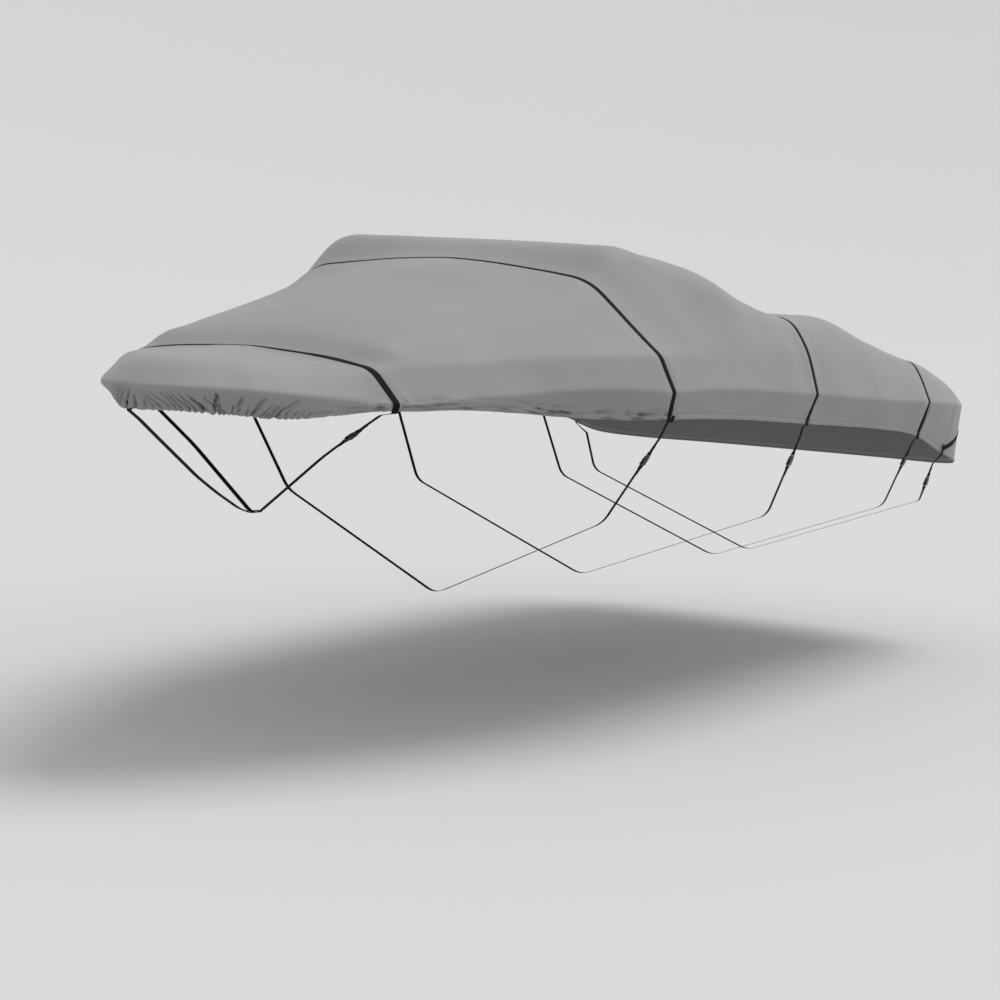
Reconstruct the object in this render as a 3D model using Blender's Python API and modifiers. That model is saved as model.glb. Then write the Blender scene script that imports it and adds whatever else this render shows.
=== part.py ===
# A fitted boat cover: one hollow sheet of woven polyester with a gathered hem, and the black webbing straps
# that lie over it, run down from its hem through side-release buckles and pass round underneath.
# Metres, +Z up, bow end towards -X, port side at -Y. The origin is the inside face of the cloth at its crown.

import math
from collections import namedtuple

import bmesh
import bpy
from mathutils import Matrix, Vector

CLOTH = 0.002          # thickness of the cloth
WEBBING = 0.0015       # thickness of the webbing
CLEAR = 0.0004         # left between pieces that touch
WIDE = 0.030           # the bow strap's webbing
NARROW = 0.025         # all the other webbing
SLOPE_UNDER = {WIDE: 0.0, NARROW: 0.5}   # how much of the cloth's slope is left under each webbing

# The cloth, from the bow round the port side to the stern. Each row is a section square to the rail: the rail's
# place, the hem below it, the knee where the side turns in, the hip where the top begins, and the centre line
# that it ends on. Insets and heights are from the rail; strap is the width of webbing that lies along it.
Section = namedtuple(
    "Section", "rail_x half rail_z hem_in hem_drop knee_in knee_up hip_in hip_up top_x top_z strap")
SECTIONS = [
    Section(-2.685, 0.000, -0.608, 0.030, 0.088, 0.140, 0.105, 0.400, 0.125, -2.090, -0.474, 0),
    Section(-2.625, 0.165, -0.608, 0.100, 0.090, 0.140, 0.105, 0.360, 0.125, -2.070, -0.474, 0),
    Section(-2.463, 0.318, -0.613, 0.120, 0.097, 0.130, 0.105, 0.340, 0.127, -2.040, -0.473, 0),
    Section(-2.240, 0.462, -0.628, 0.080, 0.092, 0.120, 0.110, 0.320, 0.135, -2.000, -0.472, 0),
    Section(-1.850, 0.655, -0.656, 0.010, 0.027, 0.115, 0.130, 0.350, 0.170, -1.920, -0.468, WIDE),
    Section(-1.750, 0.700, -0.653, 0.010, 0.030, 0.110, 0.135, 0.200, 0.200, -1.790, -0.410, 0),
    Section(-1.600, 0.765, -0.643, 0.010, 0.035, 0.110, 0.140, 0.250, 0.240, -1.610, -0.348, 0),
    Section(-1.300, 0.885, -0.616, 0.020, 0.075, 0.090, 0.130, 0.285, 0.270, -1.310, -0.268, 0),
    Section(-0.950, 1.000, -0.596, 0.030, 0.120, 0.080, 0.130, 0.350, 0.320, -0.950, -0.188, 0),
    Section(-0.670, 1.085, -0.596, 0.030, 0.130, 0.075, 0.135, 0.390, 0.380, -0.690, -0.123, 0),
    Section(-0.470, 1.147, -0.608, 0.025, 0.117, 0.075, 0.150, 0.450, 0.460, -0.470, -0.088, NARROW),
    Section(-0.270, 1.165, -0.600, 0.030, 0.128, 0.070, 0.150, 0.465, 0.585, -0.270, -0.013, 0),
    Section(0.000, 1.180, -0.603, 0.035, 0.133, 0.070, 0.160, 0.400, 0.570, 0.000, 0.002, 0),
    Section(0.250, 1.195, -0.610, 0.040, 0.137, 0.070, 0.180, 0.275, 0.512, 0.250, -0.024, 0),
    Section(0.550, 1.205, -0.628, 0.050, 0.137, 0.070, 0.200, 0.220, 0.412, 0.530, -0.138, 0),
    Section(0.875, 1.212, -0.643, 0.055, 0.142, 0.065, 0.205, 0.165, 0.352, 0.850, -0.276, NARROW),
    Section(1.300, 1.212, -0.668, 0.060, 0.142, 0.065, 0.197, 0.155, 0.375, 1.270, -0.290, 0),
    Section(1.800, 1.207, -0.696, 0.060, 0.147, 0.060, 0.160, 0.140, 0.290, 1.770, -0.368, 0),
    Section(2.350, 1.195, -0.720, 0.060, 0.182, 0.060, 0.133, 0.110, 0.208, 2.270, -0.478, NARROW),
    Section(2.700, 1.178, -0.738, 0.060, 0.252, 0.060, 0.112, 0.110, 0.158, 2.500, -0.533, 0),
    Section(3.020, 1.116, -0.755, 0.020, 0.316, 0.060, 0.070, 0.120, 0.100, 2.630, -0.600, 0),
    Section(3.215, 0.925, -0.764, 0.010, 0.334, 0.060, 0.056, 0.140, 0.088, 2.700, -0.628, 0),
    Section(3.310, 0.615, -0.768, 0.020, 0.334, 0.060, 0.056, 0.140, 0.086, 2.730, -0.638, 0),
    Section(3.345, 0.000, -0.768, 0.030, 0.334, 0.060, 0.056, 0.140, 0.086, 2.750, -0.643, 0),
]
# The starboard side is fuller than port in two places: distance along the rail, reach, how far the knee and the
# hip stand out, and how far the knee is raised.
Fuller = namedtuple("Fuller", "place reach knee_out hip_out knee_rise")
FULLER = [
    Fuller(1.00, 0.80, 0.095, 0.080, 0.008),
    Fuller(2.74, 0.34, 0.000, 0.060, 0.000),
]
BENDS = ((0.030, 3), (0.050, 2), (0.160, 4))   # how far each bend reaches along the cloth, and its points
TOP_POINTS = 3         # points from the hip to the centre line
TOP_EASE = 1.6         # how the top levels off towards the centre line
BOW_LENGTH = 1.0       # rail distance over which the hem is closely gathered
BOW_STEP = 0.060       # spacing of the sections at the bow
SIDE_STEP = 0.180      # and along the sides and round the stern

# Broad folds that stand in or out of the plain form: place along the rail, reach along and up the section
# (from 0 at the hem to 1 at the centre line), and depth, outwards if positive.
Fold = namedtuple("Fold", "side place reach low high depth")
FOLDS = [
    Fold(-1, 0.40, 0.10, 0.10, 0.45, -0.009),
    Fold(-1, 0.62, 0.12, 0.10, 0.50, 0.006),
    Fold(1, 0.33, 0.11, 0.10, 0.45, -0.008),
    Fold(-1, 1.75, 0.22, 0.12, 0.60, -0.010),
    Fold(1, 1.85, 0.25, 0.12, 0.55, -0.012),
    Fold(-1, 3.90, 0.20, 0.15, 0.60, -0.008),
    Fold(1, 3.80, 0.24, 0.15, 0.60, -0.010),
    Fold(-1, 5.30, 0.10, 0.00, 0.40, 0.007),
    Fold(1, 5.25, 0.12, 0.00, 0.40, 0.006),
]
PUCKER = 0.005         # how far the gathered hem stands in and out
PUCKER_PITCH = 0.150   # from one pucker to the next
PUCKER_TOP = 0.30      # height on the section where the puckers have died out
SIDE_PUCKER = 0.5      # puckers along the sides, as a share of those at the bow
PUCKER_END = 5.45      # rail distance past which the hem hangs plain

# The tie-down webbing below the hem, as it runs on the port side: it turns in under the hem, bends at the flank,
# passes its buckle on the way to the elbow, and crosses under at the bottom, on the centre line. y is outward
# from the centre line, and buckle is the distance from turn to the buckle's middle.
Tie = namedtuple("Tie", "name width x turn_y turn_z flank_y flank_z buckle elbow_y elbow_z bottom_z")
TIES = [
    Tie("bow", WIDE, -1.854, 0.585, -0.701, 0.555, -0.722, 0.160, 0.320, -0.886, -1.150),
    Tie("crown", NARROW, -0.470, 1.121, -0.733, 1.085, -0.808, 0.200, 0.834, -1.191, -1.590),
    Tie("cockpit", NARROW, 0.875, 1.145, -0.800, 1.133, -0.850, 0.172, 0.986, -1.232, -1.620),
    Tie("aft", NARROW, 2.350, 1.120, -0.920, 1.112, -0.938, 0.124, 0.970, -1.280, -1.640),
    Tie("stern", NARROW, 2.790, 1.064, -1.068, 1.062, -1.074, 0.105, 1.000, -1.275, -1.645),
]
ROUNDING = {"hem": 0.002, "turn": 0.010, "flank": 0.015, "elbow": 0.045, "bottom": 0.050}
LAP_PAST = 0.006       # how far a tie-down runs on past the hem before it turns in
LAP_CLEAR = 0.0006     # between a tie-down's end and the strap that it is sewn to

# The stern strap goes round the back of the cloth. Place along the rail, and height from 0 at the hem to 1 at
# the rail; it is the same on both sides.
STERN_ROUTE = ((5.81, 0.10), (5.92, 0.30), (6.03, 0.52), (6.20, 0.68), (6.45, 0.78), (6.75, 0.83), (7.22, 0.85))
STERN_LIFT = 0.0020    # the stern strap's inner face above the cloth, clear of its facets

# Side-release buckle, lengths along the strap from its middle.
BAR_AT = 0.034         # the bar that the webbing turns round
BAR_HALF = 0.0017      # half of the bar's width along the strap
FRAME_HALF = 0.0019    # half of the frame's thickness
TURN_RADIUS = 0.0040   # of the webbing's middle round the bar
SLOT_END = 0.0260      # where the slot ends and the body begins
CHEEK = 0.006          # frame outside the webbing at each side
SLOT_PLAY = 0.001      # slot wider than the webbing, at each side
SOCKET_HALF = 0.0065   # half of the socket's thickness
MOUTH = -0.0100        # the socket's open end
PRONG_END = 0.0120     # where the prongs end inside the socket
TAIL = 0.045           # webbing folded back from each bar

# Strap from the stem to the bow tie-down, along the centre line: x and z of each bend below the hem.
STEM_ROUTE = ((-2.600, -0.735), (-2.529, -0.782), (-2.234, -0.972), (-2.109, -1.040), (-1.960, -1.112))
STEM_LOOP_LOW = 0.0001    # middle of the loop's lower layer below the bottom of the tie-down's bend
STEM_LOOP_HIGH = 0.0062   # and of its upper layer above it
STEM_LOOP_REACH = 0.0300  # half of the loop's length along the centre line


def clear_scene():
    for item in list(bpy.data.objects):
        bpy.data.objects.remove(item, do_unlink=True)


def make_material(name, colour, roughness):
    material = bpy.data.materials.new(name)
    material.use_nodes = True
    shader = material.node_tree.nodes["Principled BSDF"]
    shader.inputs["Base Color"].default_value = (*colour, 1.0)
    shader.inputs["Roughness"].default_value = roughness
    return material


def rail_distances(rows):
    """Distance along the rail, seen from above, from the bow to each section."""
    stops = [0.0]
    for a, b in zip(rows, rows[1:]):
        stops.append(stops[-1] + math.hypot(b.rail_x - a.rail_x, b.half - a.half))
    return stops


def blended(rows, stops, place):
    """The section at any distance along the rail, on smooth curves through the rows."""
    i = max(0, min(len(rows) - 2, sum(s <= place for s in stops) - 1))
    span = stops[i + 1] - stops[i]
    s = (place - stops[i]) / span
    values = []
    for field in Section._fields:
        column = [getattr(row, field) for row in rows]
        start, end = slope(field, column, stops, i), slope(field, column, stops, i + 1)
        values.append(
            (2 * s**3 - 3 * s**2 + 1) * column[i]
            + (s**3 - 2 * s**2 + s) * span * start
            + (3 * s**2 - 2 * s**3) * column[i + 1]
            + (s**3 - s**2) * span * end
        )
    return Section(*values)


def slope(field, column, stops, i):
    """Slope at a row; at the bow and the stern the rail runs square to the centre line."""
    last = len(column) - 1
    if i in (0, last):
        return (1.0 if i == 0 else -1.0) if field == "half" else 0.0
    before, after = stops[i] - stops[i - 1], stops[i + 1] - stops[i]
    fall, rise = (column[i] - column[i - 1]) / before, (column[i + 1] - column[i]) / after
    return (fall * after + rise * before) / (before + after)


def rows_with_strap_edges():
    """Each strapped section becomes two, at the webbing's edges, so that the cloth lies flat under it."""
    stops = rail_distances(SECTIONS)
    rows = []
    for row, stop in zip(SECTIONS, stops):
        if not row.strap:
            rows.append(row)
            continue
        for edge in (-row.strap / 2, row.strap / 2):
            beside = blended(SECTIONS, stops, stop + edge)
            level = {
                name: getattr(row, name) + (getattr(beside, name) - getattr(row, name)) * SLOPE_UNDER[row.strap]
                for name in ("knee_up", "hip_up", "top_z")
            }
            rows.append(beside._replace(top_x=row.top_x + edge, strap=row.strap, **level))
    return rows


ROWS = rows_with_strap_edges()
STOPS = rail_distances(ROWS)


def strap_edges(index):
    """Rail distances of the two edges of the over-cover strap with this index."""
    edges = [stop for row, stop in zip(ROWS, STOPS) if row.strap]
    return edges[2 * index], edges[2 * index + 1]


def profile(section):
    """Inset from the rail and height of each point of a section, from the hem to the centre line."""
    reach = math.hypot(section.top_x - section.rail_x, section.half)
    corners = [
        Vector((section.hem_in, section.rail_z - section.hem_drop)),
        Vector((0.0, section.rail_z)),
        Vector((section.knee_in, section.rail_z + section.knee_up)),
        Vector((section.hip_in, section.rail_z + section.hip_up)),
        Vector((reach, section.top_z)),
    ]
    points = [corners[0]]
    for i, (bend, count) in enumerate(BENDS, start=1):
        back, on = corners[i - 1] - corners[i], corners[i + 1] - corners[i]
        cut = min(bend, 0.48 * back.length, 0.48 * on.length)
        start, end = corners[i] + back.normalized() * cut, corners[i] + on.normalized() * cut
        if i != 2:
            points.append((points[-1] + start) / 2)
        for k in range(count):
            s = k / (count - 1)
            points.append((1 - s) ** 2 * start + 2 * s * (1 - s) * corners[i] + s**2 * end)
    last = points[-1]
    for k in range(1, TOP_POINTS + 1):
        s = k / TOP_POINTS
        height = last.y + (section.top_z - last.y) * (1 - (1 - s) ** TOP_EASE)
        points.append(Vector((last.x + (reach - last.x) * s, height)))
    return points


def smooth_window(distance, reach):
    """1 at the middle of a fold, 0 at its edge and beyond."""
    s = abs(distance) / reach
    return (1 - s * s) ** 2 if s < 1 else 0.0


def pressed_flat(place):
    """0 under a strap, at the bow and at the stern, rising to 1 a hand's breadth away."""
    nearest = min([abs(place - s) for row, s in zip(ROWS, STOPS) if row.strap] + [place, STOPS[-1] - place])
    return min(1.0, max(0.0, nearest / 0.09 - 0.1))


def fold_depth(side, place, height):
    """How far the cloth stands out of its plain form at a place on a section."""
    depth = 0.0
    for fold in FOLDS:
        if fold.side == side and fold.low <= height <= fold.high:
            middle, reach = (fold.low + fold.high) / 2, (fold.high - fold.low) / 2
            depth += fold.depth * smooth_window(place - fold.place, fold.reach) * smooth_window(height - middle, reach)
    if height < PUCKER_TOP and place < PUCKER_END:
        wave = math.sin(2 * math.pi * place / PUCKER_PITCH + 1.7 * side + 0.9 * math.sin(3.1 * place))
        depth += PUCKER * wave * (1 - height / PUCKER_TOP) * (1.0 if place < BOW_LENGTH else SIDE_PUCKER)
    return depth * pressed_flat(place)


def fuller(section, place):
    """The same section on the starboard side."""
    for part in FULLER:
        share = smooth_window(place - part.place, part.reach)
        section = section._replace(
            knee_in=section.knee_in - part.knee_out * share,
            hip_in=section.hip_in - part.hip_out * share,
            knee_up=section.knee_up + part.knee_rise * share,
        )
    return section


def section_points(side, place):
    """The cloth's outer face at one section, from the hem to the centre line, on one side."""
    section = blended(ROWS, STOPS, place)
    if side > 0:
        section = fuller(section, place)
    flat = profile(section)
    reach = flat[-1].x
    inward = Vector(((section.top_x - section.rail_x) / reach, -section.half / reach))
    points = []
    for k, point in enumerate(flat):
        out = fold_depth(side, place, k / (len(flat) - 1))
        x = section.rail_x + inward.x * (point.x - out)
        y = section.half + inward.y * (point.x - out)
        points.append(Vector((x, side * max(y, 0.0), point.y)))
    points[-1].y = 0.0
    return points


def section_places():
    """Rail distances of all the sections, evenly spaced between the edges of the straps."""
    fixed = [0.0, BOW_LENGTH] + [stop for row, stop in zip(ROWS, STOPS) if row.strap] + [STOPS[-1]]
    fixed.sort()
    places = [0.0]
    for a, b in zip(fixed, fixed[1:]):
        step = BOW_STEP if b <= BOW_LENGTH else SIDE_STEP
        count = max(1, math.ceil((b - a) / step - 0.01))
        places += [a + (b - a) * k / count for k in range(1, count + 1)]
    return places


PLACES = section_places()
GRID = {side: [section_points(side, place) for place in PLACES] for side in (-1, 1)}


def add_object(name, mesh, material):
    item = bpy.data.objects.new(name, mesh)
    collection.objects.link(item)
    item.data.materials.append(material)
    return item


def mesh_of(name, vertices, faces):
    mesh = bpy.data.meshes.new(name)
    mesh.from_pydata(vertices, [], faces)
    work = bmesh.new()
    work.from_mesh(mesh)
    bmesh.ops.remove_doubles(work, verts=work.verts, dist=0.00001)
    bmesh.ops.delete(work, geom=[v for v in work.verts if not v.link_faces], context="VERTS")
    bmesh.ops.recalc_face_normals(work, faces=work.faces)
    work.to_mesh(mesh)
    work.free()
    return mesh


def thicken(item, thickness, offset):
    solidify = item.modifiers.new("thickness", "SOLIDIFY")
    solidify.thickness = thickness
    solidify.offset = offset
    solidify.use_even_offset = True
    solidify.use_rim = True


def strip_faces(columns, rows, flip):
    """Two triangles to each cell of a grid, all cut along the same diagonal; flip turns them over."""
    faces = []
    for i in range(columns - 1):
        for j in range(rows - 1):
            a, b, c, d = i * rows + j, (i + 1) * rows + j, (i + 1) * rows + j + 1, i * rows + j + 1
            faces += [(a, b, c), (a, c, d)] if not flip else [(c, b, a), (d, c, a)]
    return faces


def make_cloth():
    vertices, faces = [], []
    rows = len(GRID[1][0])
    for side in (-1, 1):
        start = len(vertices)
        vertices += [point for column in GRID[side] for point in column]
        faces += [tuple(start + k for k in face) for face in strip_faces(len(PLACES), rows, side > 0)]
    faces = [face for face in faces if any(vertices[k].y for k in face)]
    mesh = mesh_of("cover", vertices, faces)
    outward = sum(face.normal.z * face.area for face in mesh.polygons)
    if outward < 0:
        mesh.flip_normals()
    cloth = add_object("cover", mesh, cloth_grey)
    thicken(cloth, CLOTH, -1)
    mesh.shade_smooth()
    return cloth


def cloth_normals(cloth):
    """Outward normal of the cloth at each point of the grid, keyed by the rounded point."""
    return {tuple(round(c, 4) for c in v.co): v.normal.copy() for v in cloth.data.vertices}


def raised(point, distance):
    return point + normals[tuple(round(c, 4) for c in point)] * distance


def make_over_strap(name, index):
    """Webbing over the cloth from hem to hem, on the cloth's own facets."""
    columns = []
    for edge in strap_edges(index):
        i = min(range(len(PLACES)), key=lambda k: abs(PLACES[k] - edge))
        port = [raised(point, CLEAR) for point in GRID[-1][i]]
        starboard = [raised(point, CLEAR) for point in GRID[1][i]]
        columns.append((port, starboard))
    vertices, faces = [], []
    for part, flip in ((0, False), (1, True)):
        start = len(vertices)
        rows = len(columns[0][part])
        vertices += columns[0][part] + columns[1][part]
        faces += [tuple(start + k for k in face) for face in strip_faces(2, rows, flip)]
    mesh = mesh_of(name, vertices, faces)
    if sum(face.normal.z * face.area for face in mesh.polygons) < 0:
        mesh.flip_normals()
    strap = add_object(name, mesh, webbing_black)
    thicken(strap, WEBBING, 1)
    mesh.shade_smooth()


# One bend of a strap's route: where it is, the direction of the webbing's width there, and how far before and
# after it the strap starts to turn, 0 for a plain corner.
Bend = namedtuple("Bend", "point across cut")


def rounded_route(points, cuts, count=3):
    """The route with each corner replaced by a short curve that starts its cut before it."""
    route = [points[0]]
    for before, corner, after, cut in zip(points, points[1:], points[2:], cuts[1:]):
        if not cut:
            route.append(corner)
            continue
        back, on = before - corner, after - corner
        cut = min(cut, 0.45 * back.length, 0.45 * on.length)
        start, end = corner + back.normalized() * cut, corner + on.normalized() * cut
        for k in range(count + 1):
            s = k / count
            route.append((1 - s) ** 2 * start + 2 * s * (1 - s) * corner + s**2 * end)
    route.append(points[-1])
    return route


def make_ribbon(name, bends, width):
    """Webbing of even width along a route."""
    cuts = [bend.cut for bend in bends]
    edges = [
        rounded_route([bend.point + bend.across * (side * width / 2) for bend in bends], cuts)
        for side in (-1, 1)
    ]
    mesh = mesh_of(name, edges[0] + edges[1], strip_faces(2, len(edges[0]), False))
    strap = add_object(name, mesh, webbing_black)
    thicken(strap, WEBBING, 0)
    mesh.shade_smooth()


def lap_bends(tie, side):
    """The tie-down's end, sewn over the end of the strap on the cloth, and how far it runs past the hem."""
    over = CLEAR + WEBBING + LAP_CLEAR + WEBBING / 2
    if tie.name == "stern":
        over += STERN_LIFT - CLEAR
        middle = STERN_ROUTE[0][0]
        edges = [section_points(side, middle + offset)[:2] for offset in (-NARROW / 2, NARROW / 2)]
        outward = (edges[1][0] - edges[0][0]).cross(edges[0][1] - edges[0][0]).normalized()
        outward *= 1 if outward.y * side > 0 else -1
        edges = [(hem + outward * over, hem.lerp(up, 0.35) + outward * over) for hem, up in edges]
    else:
        index = [other.name for other in TIES].index(tie.name)
        columns = [min(range(len(PLACES)), key=lambda k: abs(PLACES[k] - e)) for e in strap_edges(index)]
        edges = [[raised(GRID[side][i][k], over) for k in (0, 1)] for i in columns]
    (hem_a, up_a), (hem_b, up_b) = edges
    hem, up = (hem_a + hem_b) / 2, (up_a + up_b) / 2
    across = (hem_b - hem_a).normalized()
    past = hem + (hem - up).normalized() * LAP_PAST
    return [Bend(up, across, 0), Bend(hem, across, 0), Bend(past, across, ROUNDING["hem"])]


def tie_bends(tie, side):
    """Bends of a tie-down on one side, from the hem to the elbow."""
    across = Vector((1.0, 0.0, 0.0))
    free = [
        Bend(Vector((tie.x, side * y, z)), across, cut)
        for y, z, cut in (
            (tie.turn_y, tie.turn_z, ROUNDING["turn"]),
            (tie.flank_y, tie.flank_z, ROUNDING["flank"]),
            (tie.elbow_y, tie.elbow_z, ROUNDING["elbow"]),
        )
    ]
    return lap_bends(tie, side) + free


def bar_turn(middle, along, out, end):
    """Webbing's middle line round a buckle's bar: in along the back, round the bar and back along the front.
    end is -1 at the plug, whose webbing comes from the hem, and +1 at the socket."""
    layer = WEBBING / 2 + CLEAR / 2
    flat = [(BAR_AT + TAIL, -layer), (BAR_AT + 0.016, -layer)]
    for k in range(7):
        angle = math.pi * k / 6
        flat.append((BAR_AT - TURN_RADIUS * math.sin(angle), -TURN_RADIUS * math.cos(angle)))
    flat += [(BAR_AT + 0.016, layer), (BAR_AT + TAIL, layer)]
    across = Vector((1.0, 0.0, 0.0))
    return [Bend(middle + along * (end * u) + out * n, across, 0) for u, n in flat]


def cube(name, low, high):
    """A box between two corners, as a mesh object."""
    bpy.ops.mesh.primitive_cube_add(size=1)
    item = bpy.context.object
    item.name = name
    low, high = Vector(low), Vector(high)
    item.data.transform(Matrix.Translation((low + high) / 2) @ Matrix.Diagonal((*(high - low), 1)))
    return item


def combine(item, others, operation):
    """Joins or cuts with each of the others, and removes them."""
    for other in others:
        boolean = item.modifiers.new("cut", "BOOLEAN")
        boolean.object = other
        boolean.operation = operation
        boolean.solver = "EXACT"
        apply_modifiers(item)
        bpy.data.objects.remove(other, do_unlink=True)


def apply_modifiers(item):
    evaluated = item.evaluated_get(bpy.context.evaluated_depsgraph_get())
    mesh = bpy.data.meshes.new_from_object(evaluated)
    item.modifiers.clear()
    item.data = mesh


def soften(item, width):
    bevel = item.modifiers.new("edges", "BEVEL")
    bevel.width = width
    bevel.segments = 1
    bevel.limit_method = "ANGLE"
    bevel.angle_limit = math.radians(50)


def buckle_plug(width):
    """Frame with its bar and slot, and three prongs that reach into the socket. Length runs along Y."""
    half = width / 2
    edge, slot = half + CHEEK, half + SLOT_PLAY
    shoulder = MOUTH - CLEAR
    outline = cube("outline", (-edge, -BAR_AT - BAR_HALF, -FRAME_HALF), (edge, shoulder, FRAME_HALF))
    collar = cube("collar", (-edge, -SLOT_END + 0.003, -SOCKET_HALF * 0.7), (edge, shoulder, SOCKET_HALF * 0.7))
    prongs = [
        cube("prong", (middle - w / 2, shoulder - 0.004, -0.0022), (middle + w / 2, end, 0.0022))
        for middle, w, end in (
            (0.0, width * 0.28, PRONG_END * 0.6),
            (-half + 0.003, 0.006, PRONG_END),
            (half - 0.003, 0.006, PRONG_END),
        )
    ]
    combine(outline, [collar, *prongs], "UNION")
    combine(outline, [cube("slot", (-slot, -BAR_AT + BAR_HALF, -1), (slot, -SLOT_END, 1))], "DIFFERENCE")
    soften(outline, 0.0006)
    apply_modifiers(outline)
    return outline


def buckle_socket(width):
    """Hollow body open at its mouth and at both sides, with its own slot and bar. Length runs along Y."""
    half = width / 2
    edge, slot = half + CHEEK, half + SLOT_PLAY
    body = cube("body", (-edge, MOUTH, -SOCKET_HALF), (edge, SLOT_END - 0.003, SOCKET_HALF))
    frame = cube("frame", (-edge, SLOT_END - 0.006, -FRAME_HALF), (edge, BAR_AT + BAR_HALF, FRAME_HALF))
    combine(body, [frame], "UNION")
    inside = cube("inside", (-half - 0.002, MOUTH - 0.01, -0.0030), (half + 0.002, PRONG_END + 0.003, 0.0030))
    window = cube("window", (-edge - 0.01, MOUTH + 0.007, -0.0028), (edge + 0.01, PRONG_END + 0.001, 0.0028))
    hole = cube("slot", (-slot, SLOT_END, -1), (slot, BAR_AT - BAR_HALF, 1))
    combine(body, [inside, window, hole], "DIFFERENCE")
    soften(body, 0.0008)
    apply_modifiers(body)
    return body


def place_buckle(tie, middle, along, out):
    """Both halves of one buckle at a place on its strap."""
    across = along.cross(out)
    turn = Matrix((across, along, out)).transposed().to_4x4()
    for name, make in (("plug", buckle_plug), ("socket", buckle_socket)):
        item = make(tie.width)
        item.name = f"buckle_{name}_{tie.name}"
        for owner in list(item.users_collection):
            owner.objects.unlink(item)
        collection.objects.link(item)
        item.data.materials.clear()
        item.data.materials.append(buckle_black)
        item.matrix_world = Matrix.Translation(middle) @ turn
        item.data.set_sharp_from_angle(angle=math.radians(35))


def make_tie_down(tie):
    """Upper length, buckle and lower length of one tie-down strap."""
    near, far = tie_bends(tie, -1), tie_bends(tie, 1)
    turn, flank, elbow = [bend.point for bend in near[-3:]]
    along = (elbow - flank).normalized()
    out = Vector((1.0, 0.0, 0.0)).cross(along).normalized()
    out *= 1 if out.y < 0 else -1
    middle = flank + along * (tie.buckle - (flank - turn).length)
    place_buckle(tie, middle, along, out)
    make_ribbon(f"tie_upper_{tie.name}", near[:-1] + bar_turn(middle, along, out, -1), tie.width)
    bottom = Bend(Vector((tie.x, 0.0, tie.bottom_z)), near[-1].across, ROUNDING["bottom"])
    socket_turn = list(reversed(bar_turn(middle, along, out, 1)))
    make_ribbon(f"tie_lower_{tie.name}", [*socket_turn, near[-1], bottom, *reversed(far)], tie.width)


def surface_point(side, place, height):
    """A point between the hem and the rail, and the cloth's outward normal there."""
    points = section_points(side, place)
    beside = section_points(side, place + 0.004)
    hem, rail = points[0], points[2]
    normal = (beside[0] - hem).cross(rail - hem).normalized()
    if normal.x * (1 if place > 6.4 else 0) + normal.y * side < 0:
        normal = -normal
    return hem.lerp(rail, height), normal, (rail - hem).normalized()


def make_stern_strap():
    """Webbing round the back of the cloth, from the port hem to the starboard hem."""
    places = [p for p in PLACES if p > STERN_ROUTE[0][0] + 0.02]
    stations = [STERN_ROUTE[0][0]] + places
    low, high = [], []
    for side, run in ((-1, stations), (1, list(reversed(stations))[1:])):
        for place in run:
            height = height_on_route(place)
            middle, normal, up = surface_point(side, min(place, STOPS[-1] - 0.005), height)
            if place == STOPS[-1]:
                middle.y, normal, up = 0.0, Vector((normal.x, 0, normal.z)).normalized(), Vector((up.x, 0, up.z))
            slant = slant_of_route(place)
            half = NARROW / 2 / math.cos(slant)
            low.append(middle - up * half + normal * STERN_LIFT)
            high.append(middle + up * half + normal * STERN_LIFT)
    mesh = mesh_of("over_strap_stern", low + high, strip_faces(2, len(low), False))
    if sum(face.normal.x * face.area for face in mesh.polygons) < 0:
        mesh.flip_normals()
    strap = add_object("over_strap_stern", mesh, webbing_black)
    thicken(strap, WEBBING, 1)
    mesh.shade_smooth()


def height_on_route(place):
    """Height between the hem and the rail where the stern strap passes a section."""
    for (a, low), (b, high) in zip(STERN_ROUTE, STERN_ROUTE[1:]):
        if place <= b:
            s = max(0.0, (place - a) / (b - a))
            return low + (high - low) * s
    return STERN_ROUTE[-1][1]


def slant_of_route(place):
    rise = (height_on_route(place + 0.02) - height_on_route(max(place - 0.02, 0.0))) / 0.04 * 0.30
    return math.atan(rise)


def make_stem_strap():
    """From the hem at the stem down the centre line to a sewn loop round the bow tie-down."""
    bow = TIES[0]
    fall = (bow.elbow_z - bow.bottom_z) / bow.elbow_y
    bottom = bow.bottom_z + fall * ROUNDING["bottom"] / math.hypot(1.0, fall) / 2
    low, high = bottom - STEM_LOOP_LOW, bottom + STEM_LOOP_HIGH
    front = bow.x - STEM_LOOP_REACH
    hem, up = [raised(GRID[1][0][k], CLEAR + WEBBING / 2) for k in (0, 1)]
    past = hem + (hem - up).normalized() * LAP_PAST
    route = [(up.x, up.z, 0), (hem.x, hem.z, 0), (past.x, past.z, ROUNDING["hem"])]
    route += [(x, z, 0.03) for x, z in STEM_ROUTE] + [(front, low, 0)]
    for k in range(7):
        angle = math.pi * k / 6
        reach = STEM_LOOP_REACH + (high - low) / 2 * math.sin(angle)
        route.append((bow.x + reach, (low + high) / 2 - (high - low) / 2 * math.cos(angle), 0))
    route.append((front, high, 0))
    onward = (Vector((STEM_ROUTE[-1][0] - front, STEM_ROUTE[-1][1] - low))).normalized()
    lift = WEBBING + CLEAR
    end = Vector((front, low)) + onward * 0.04 + Vector((onward.y, -onward.x)) * lift
    route.append((end.x, end.y, 0))
    across = Vector((0.0, 1.0, 0.0))
    make_ribbon("stem_strap", [Bend(Vector((x, 0.0, z)), across, cut) for x, z, cut in route], NARROW)


clear_scene()
collection = bpy.data.collections.new("boat_cover")
bpy.context.scene.collection.children.link(collection)

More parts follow.
